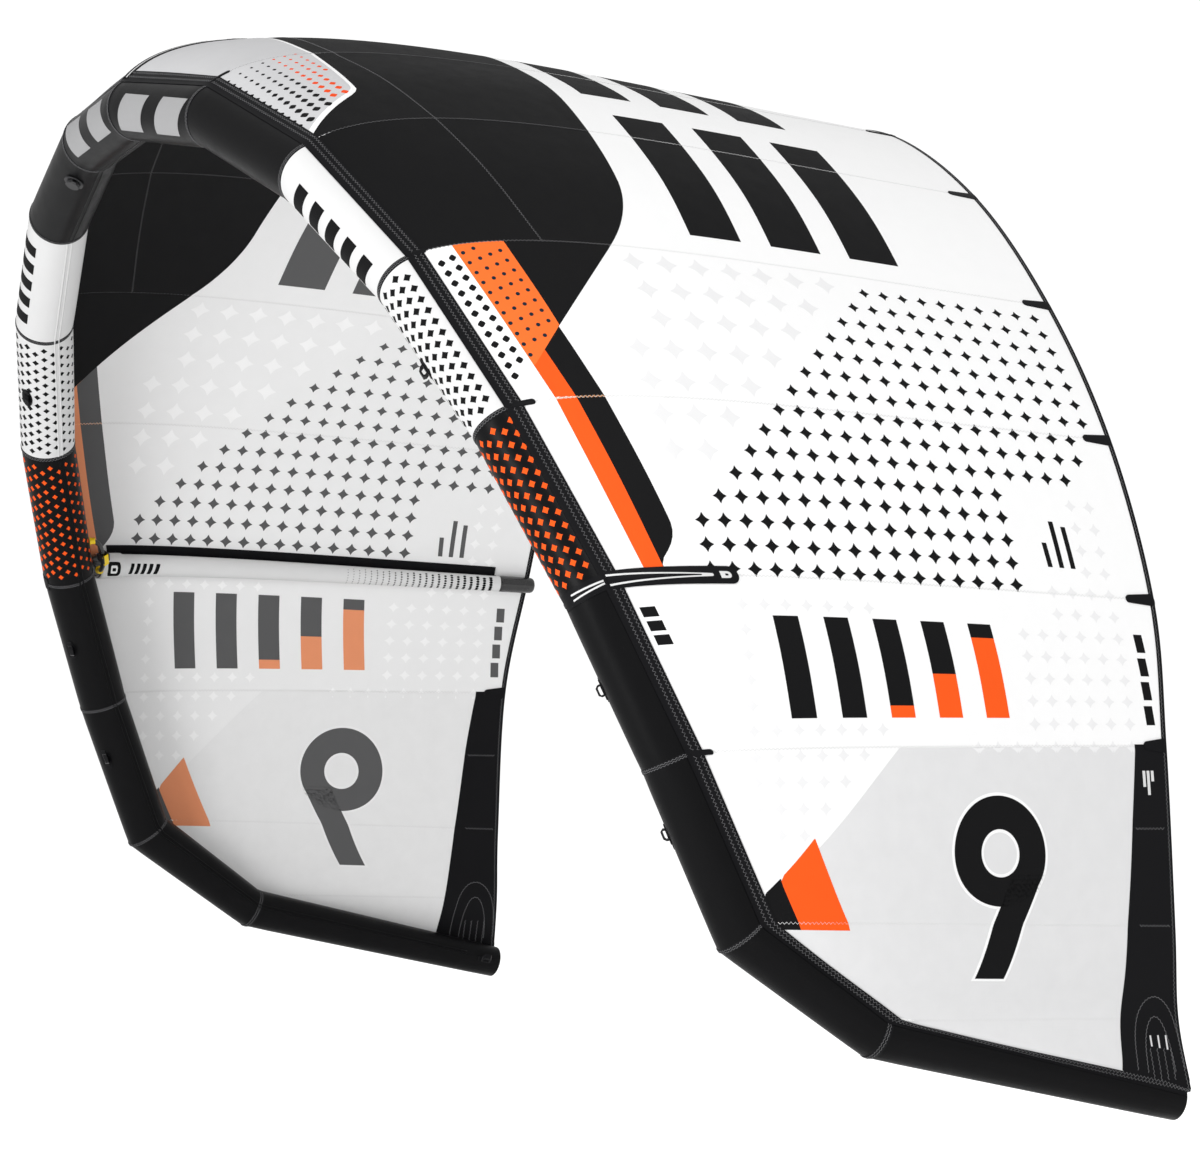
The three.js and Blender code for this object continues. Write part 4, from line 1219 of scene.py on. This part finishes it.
def bridlePatches():
    # Oval webbing patch under every bridle loop
    shells = []
    for segment, share in ((3, 0.5), (5, 0.5), (6, 0.36)):
        along = seamAlong[segment] + share * (seamAlong[segment + 1] - seamAlong[segment])
        spot = [[along, math.radians(238)]]
        oval = roundOutline(28) * (1.0, 0.62)
        shells += shapeShells(tubeSpot, spot, oval, [0.027], 3, (0, 0), (1,), base=0.0, turn=1 / 0.066)
    return makePiece("bridle_patches", shells, [tapeBlack])


tubePrints()
bridlePatches()
print("tube prints made")

# ---- struts

strutKit = {
    "nose": 0.033, "tail": 0.020, "around": 48, "wall": 0.0010, "sleeveTo": 0.955,
    "places": [("middle", 0, 0.107, 0.14), ("right", 5, 0.085, 0.14), ("left", -5, 0.085, 0.14)],
}


def strutPoint(u, v, angle, lift=0.0, shift=0.0):
    # Ring that touches the canopy's inner face, its radius falling evenly from nose to tail
    v, angle, lift, shift = np.broadcast_arrays(*(np.asarray(x, float) for x in (v, angle, lift, shift)))
    radius = (strutKit["nose"] + (strutKit["tail"] - strutKit["nose"]) * v)[..., None]
    normal = canopyNormal(np.full(v.shape, float(u)), v)
    ahead = unit(canopyPoint(u, np.minimum(v + 0.01, 1)) - canopyPoint(u, np.maximum(v - 0.01, 0)))
    side = np.cross(normal, ahead)
    centre = canopyPoint(u, v) - normal * (radius + sail["seamGap"]) + ahead * shift[..., None]
    arm = normal * np.cos(angle)[..., None] + side * np.sin(angle)[..., None]
    return centre + arm * np.maximum(radius + lift[..., None], 0.0005)


def strutLoft(u, v, lift, shift):
    angle = np.linspace(0, 2 * np.pi, strutKit["around"], endpoint=False)
    v, lift, shift = (np.broadcast_to(np.asarray(x, float), np.shape(v))[:, None] for x in (v, lift, shift))
    return strutPoint(u, v, angle[None, :], lift, shift)


def makeStruts():
    for name, u, capFrom, sleeveFrom in strutKit["places"]:
        v = np.linspace(sleeveFrom, strutKit["sleeveTo"], 80)
        outer = strutLoft(u, v, 0.0, 0.0)
        inner = strutLoft(u, v[::-1], -strutKit["wall"], 0.0)
        along = np.append(0, np.cumsum(np.linalg.norm(np.diff(outer[:, 0], axis=0), axis=1)))
        around = np.linspace(0, 0.17, strutKit["around"] + 1)
        uv = np.stack(np.meshgrid(along, around, indexing="ij"), -1)
        shells = [tubeShell(np.concatenate([outer, inner]), np.concatenate([uv, uv[::-1]]), "wall")]
        cuffEnd = sleeveFrom + 0.085
        middle = np.linspace(sleeveFrom + 0.01, cuffEnd - 0.008, 20)
        v = np.array([sleeveFrom + 0.001, sleeveFrom + 0.001, sleeveFrom + 0.004, *middle,
                      cuffEnd - 0.002, cuffEnd, cuffEnd])
        lift = np.array([0.0, 0.0016, 0.0028, *np.full(20, 0.0030), 0.0028, 0.0018, 0.0])
        shells.append(tubeShell(strutLoft(u, v, lift, 0.0), None))
        for side in (-1, 1):
            v = np.linspace(sleeveFrom + 0.085, 0.95, 90)
            section = [(-0.0024, -0.0004), (-0.0018, 0.0010), (0.0018, 0.0010), (0.0024, -0.0004)]
            radius = strutKit["nose"] + (strutKit["tail"] - strutKit["nose"]) * v
            rings = np.stack([strutPoint(u, v, side * 1.3 + a / radius, h) for a, h in section], 1)
            shells.append(tubeShell(rings, None, "flat", 1))
        makePiece(f"strut_{name}", shells, [tubeWhite, tapeBlack],
                  standsFor=[f"strut_sleeve_{name}"])
        makePiece(f"strut_marks_{name}", strutMarks(u, sleeveFrom), [prints["black"], prints["white"]])
        makePiece(f"strut_join_{name}", [joinStrip(u, sleeveFrom)], [tapeBlack])
        # nose: the rings close along a quarter of a rounded curve
        turn = np.linspace(0, np.pi / 2, 16)
        v = sleeveFrom + (capFrom - sleeveFrom) * np.sin(turn) ** 0.9
        radius = strutKit["nose"] + (strutKit["tail"] - strutKit["nose"]) * v
        lift = -radius * (1 - np.cos(turn) ** 0.55) * np.append(np.ones(15), 0.985)
        rings = strutLoft(u, v, lift, -0.0006)
        bandV = sleeveFrom - np.array([0.0, 0.001, 0.004, 0.006])
        band = strutLoft(u, bandV, np.array([0.0, 0.0012, 0.0012, 0.0]), -0.0006)
        makePiece(f"strut_nose_{name}", [tubeShell(rings, None), tubeShell(band, None)], [capBlack],
                  standsFor=[f"strut_nose_cap_{name}"])
        share = np.array([0.0, 0.02, 0.1, 0.5, 0.9, 1.0, 1.0, 1.0, 1.0, 1.0])
        lift = np.array([0.0, 0.0010, 0.0014, 0.0014, 0.0012, 0.0008, -0.001, -0.004, -0.009, -0.015])
        shift = np.array([0.0006, 0.0006, 0.0, 0.0, 0.0, 0.003, 0.008, 0.011, 0.0130, 0.0138])
        v = strutKit["sleeveTo"] + (0.999 - strutKit["sleeveTo"]) * share
        makePiece(f"strut_tail_{name}", [tubeShell(strutLoft(u, v, lift, shift), None)], [capBlack],
                  standsFor=[f"strut_tail_cap_{name}"])


def strutMarks(u, sleeveFrom):
    # Badge, plain leaning bars and a growing run of dots on the side of the strut that faces inwards
    shells = []

    def block(vMiddle, vHalf, angleHalf, lift, finish, power=6.0, lean=0.0, base=0.0):
        spread = np.linspace(-1, 1, 15)[:, None]
        around = np.linspace(-1, 1, 15)[None, :]
        angle = math.pi + angleHalf * around * np.maximum(1 - np.abs(spread) ** power, 0.02) ** (1 / power)
        v = vMiddle + vHalf * spread + lean * around
        uv = np.stack(np.broadcast_arrays(v, angle * 0.03), -1)
        top, under = strutPoint(u, v, angle, base + lift), strutPoint(u, v, angle, base - 0.0001)
        shells.append(sheetShell(top, under, uv, finish))

    block(sleeveFrom + 0.045, 0.024, 0.62, 0.0004, 0, base=0.003)
    block(sleeveFrom + 0.045, 0.0125, 0.33, 0.0008, 1, base=0.003)
    block(sleeveFrom + 0.045, 0.0065, 0.13, 0.0012, 0, base=0.003)
    for k in range(5):
        block(sleeveFrom + 0.108 + 0.0185 * k, 0.0052, 0.52, 0.0004, 0, 30.0, 0.003)
    spot = lambda along, around, lift: strutPoint(u, along, around, lift)
    i, j = np.meshgrid(np.arange(7), np.arange(24), indexing="ij")
    i, j = i.ravel(), j.ravel()
    spots = np.stack([0.715 + 0.0098 * j, math.pi + (i - 3 + 0.5 * (j % 2)) * 0.31], 1)
    size = 0.0010 + 0.0030 * j / 23
    shells += shapeShells(spot, spots, dot12[::2] * (1 / 1.45, 1), size, 1.4, (0, 0), (1,), (1,), base=0.0,
                          turn=1 / 0.024)
    return shells


def joinStrip(u, sleeveFrom):
    # Dark strip sewn to the canopy's inner face, wider than the strut that lies on it
    v = np.linspace(sleeveFrom + 0.062, 0.950, 90)[:, None]
    radius = strutKit["nose"] + (strutKit["tail"] - strutKit["nose"]) * v
    width = np.linalg.norm(canopyPoint(u + 0.02, v) - canopyPoint(u - 0.02, v), axis=-1) / 0.04
    spread = np.linspace(-1, 1, 13)
    reach = (radius + 0.011) * spread
    if u:
        reach = np.where(spread * u < 0, radius + 0.018, radius + 0.003) * spread
    top = clothPoint(u + reach / width, v, -(sail["halfCloth"] + 0.0030) + 0 * reach)
    under = clothPoint(u + reach / width, v, -(sail["halfCloth"] - 0.0001) + 0 * reach)
    uv = np.stack([reach, v + 0 * reach], -1)
    return sheetShell(top, under, uv)


makeStruts()
print("struts made")

# ---- hoses

hoseKit = {"radius": 0.006, "along": 0.095, "angle": 105, "leave": 0.048}


def surfaceFrame(segment, share, angle, side, lift):
    # Spot on a tube segment: the way along it, its outward normal and its place
    rows = np.array([segment, segment + 1]) + lastSeam
    a, b = stations["centre"][rows]
    along = unit(b - a)
    radius = stations["radius"][rows, 0] @ np.array([1 - share, share]) + lift
    out = unit(np.array([-along[2], 0, along[0]]))
    back = np.cross(out, along)
    normal = out * math.cos(math.radians(angle)) + back * math.sin(math.radians(angle))
    flip = np.array([side, 1, 1])
    return along * flip, normal * flip, (a + (b - a) * share + normal * radius) * flip


def hosePath(u, capFrom, sleeveFrom, count=48):
    side = -1 if u < 0 else 1
    segment = max(abs(u) - 1, 0)
    share = hoseKit["along"] / sail["tube"][segment][0]
    share = share if u == 0 else 1 - share
    _, leave, start = surfaceFrame(segment, share, hoseKit["angle"], side, sail["fitGap"] + sail["seamGap"])
    v = capFrom + (sleeveFrom - capFrom) * 0.7
    inwards = -canopyNormal(np.array(float(u)), np.array(v))
    reach = 2 * (strutKit["nose"] + (strutKit["tail"] - strutKit["nose"]) * v) - 0.001 + 3 * sail["seamGap"]
    end = canopyPoint(u, v) + inwards * reach
    back = unit(canopyPoint(u, v + 0.01) - canopyPoint(u, v))
    arrive = unit(inwards - 0.25 * back)
    t = np.linspace(0, 1, count)[:, None]
    a, b, c, d = start, start + leave * hoseKit["leave"], end + arrive * hoseKit["leave"], end
    return a * (1 - t) ** 3 + 3 * b * t * (1 - t) ** 2 + 3 * c * t * t * (1 - t) + d * t ** 3


def sweepRound(points, radius, sides=24, hint=(0, 0, 1.0)):
    # Circles of the given radii square to the path, kept from twisting by one fixed hint
    forward = unit(np.gradient(points, axis=0))
    first = unit(np.cross(forward, np.array(hint)))
    second = np.cross(forward, first)
    angle = np.linspace(0, 2 * np.pi, sides, endpoint=False)
    radius = np.broadcast_to(radius, (len(points),))[:, None, None]
    arm = np.cos(angle)[None, :, None] * first[:, None] + np.sin(angle)[None, :, None] * second[:, None]
    return points[:, None] + arm * radius


def makeHoses():
    for name, u, capFrom, sleeveFrom in strutKit["places"]:
        points = hosePath(u, capFrom, sleeveFrom)
        hint = (0.3, 0.2, 1.0) if u else (1.0, 0.1, 0.0)
        shells = [tubeShell(sweepRound(points, hoseKit["radius"], 24, hint), None)]
        for ends in (points[:9], points[::-1][:9]):
            start, way = ends[0], unit(ends[1] - ends[0])
            reach = np.array([0.0, 0.0, 0.002, 0.003, 0.003, 0.010, 0.012, 0.014, 0.0145])
            wide = np.array([0.006, 0.0105, 0.0108, 0.0100, 0.0085, 0.0080, 0.0084, 0.0080, 0.0062])
            collar = start + way * (reach + 0.0005)[:, None]
            shells.append(tubeShell(sweepRound(collar, wide, 24, hint), None, "flat", 1))
        makePiece(f"hose_{name}", shells, [rubberBlack, yellowPlastic],
                  standsFor=[f"strut_hose_{name}"])


makeHoses()
print("hoses made")

# ---- pieces kept as the frame has them, with their finishes

keptFinishes = {
    "leading_edge_bladder": filmClear, "strut_bladder_": filmClear, "hose_clip_lever_": yellowPlastic,
    "hose_clip_": plasticBlack, "valve_": plasticBlack, "bridle_loop_": webbing,
}
for nodeName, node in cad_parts.items():
    for start, material in keptFinishes.items():
        if nodeName.startswith(start):
            node.data.materials.clear()
            node.data.materials.append(material)
            break

# ---- floor, light and camera

studio = {"floorDrop": 0.25, "floorRadius": 14, "lens": 141.86, "place": (10.102, -3.696, -0.926),
          "azimuth": 64.37, "elevation": 0.81, "shift": (0.0035, 0.00675),
          "fill": 0.64, "floorGlow": 0.2, "floorSeen": 0.3,
          # name, place, what it points at, size and power of each soft light
          "lights": [("key", (6.5, 0.5, 5.0), (0.6, 0.8, -0.8), 4.0, 230),
                     ("front", (3.0, -6.0, -0.5), (-1.0, 0.8, -0.9), 3.0, 230)]}


def makeStudio():
    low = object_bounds()[0]
    angle = np.linspace(0, 2 * np.pi, 96, endpoint=False)
    ring = np.stack([np.cos(angle), np.sin(angle)], 1) * studio["floorRadius"]
    height = low.z - studio["floorDrop"]
    mesh = bpy.data.meshes.new("floor")
    mesh.from_pydata([(x, y + 0.8, height) for x, y in ring], [], [list(range(96))])
    floor = bpy.data.objects.new("floor", mesh)
    bpy.context.scene.collection.objects.link(floor)
    material, tree, shader = newFinish("floor_pale")
    shader.inputs["Base Color"].default_value = (0.93, 0.93, 0.93, 1)
    shader.inputs["Roughness"].default_value = 0.9
    shader.inputs["Specular IOR Level"].default_value = 0.0
    shader.inputs["Emission Color"].default_value = (1, 1, 1, 1)
    ray = tree.nodes.new("ShaderNodeLightPath")
    glow = math2(tree, "MULTIPLY", ray.outputs["Is Camera Ray"], studio["floorSeen"])
    tree.links.new(math2(tree, "ADD", glow, studio["floorGlow"]), shader.inputs["Emission Strength"])
    mesh.materials.append(material)

    world = bpy.data.worlds.new("studio")
    bpy.context.scene.world = world
    world.use_nodes = True
    links, background = world.node_tree.links, world.node_tree.nodes["Background"]
    background.inputs["Color"].default_value = (1, 1, 1, 1)
    path = world.node_tree.nodes.new("ShaderNodeLightPath")
    seen = math2(world.node_tree, "MULTIPLY", path.outputs["Is Camera Ray"], 1.05 - studio["fill"])
    links.new(math2(world.node_tree, "ADD", seen, studio["fill"]), background.inputs["Strength"])

    for name, place, target, size, power in studio["lights"]:
        light = bpy.data.lights.new(name, "AREA")
        light.shape, light.size, light.energy = "DISK", size, power
        lamp = bpy.data.objects.new(name, light)
        bpy.context.scene.collection.objects.link(lamp)
        lamp.location = place
        lamp.rotation_mode = "QUATERNION"
        lamp.rotation_quaternion = (Vector(target) - Vector(place)).to_track_quat("-Z", "Y")

    data = bpy.data.cameras.new("camera")
    data.lens, data.sensor_width = studio["lens"], 36
    data.shift_x, data.shift_y = studio["shift"]
    data.clip_start, data.clip_end = 0.1, 200
    camera = bpy.data.objects.new("camera", data)
    bpy.context.scene.collection.objects.link(camera)
    camera.location = studio["place"]
    a, e = math.radians(studio["azimuth"]), math.radians(studio["elevation"])
    look = Vector((-math.sin(a) * math.cos(e), math.cos(a) * math.cos(e), -math.sin(e)))
    camera.rotation_mode = "QUATERNION"
    camera.rotation_quaternion = look.to_track_quat("-Z", "Y")
    bpy.context.scene.camera = camera
    bpy.context.scene.view_settings.view_transform = "Standard"


makeStudio()
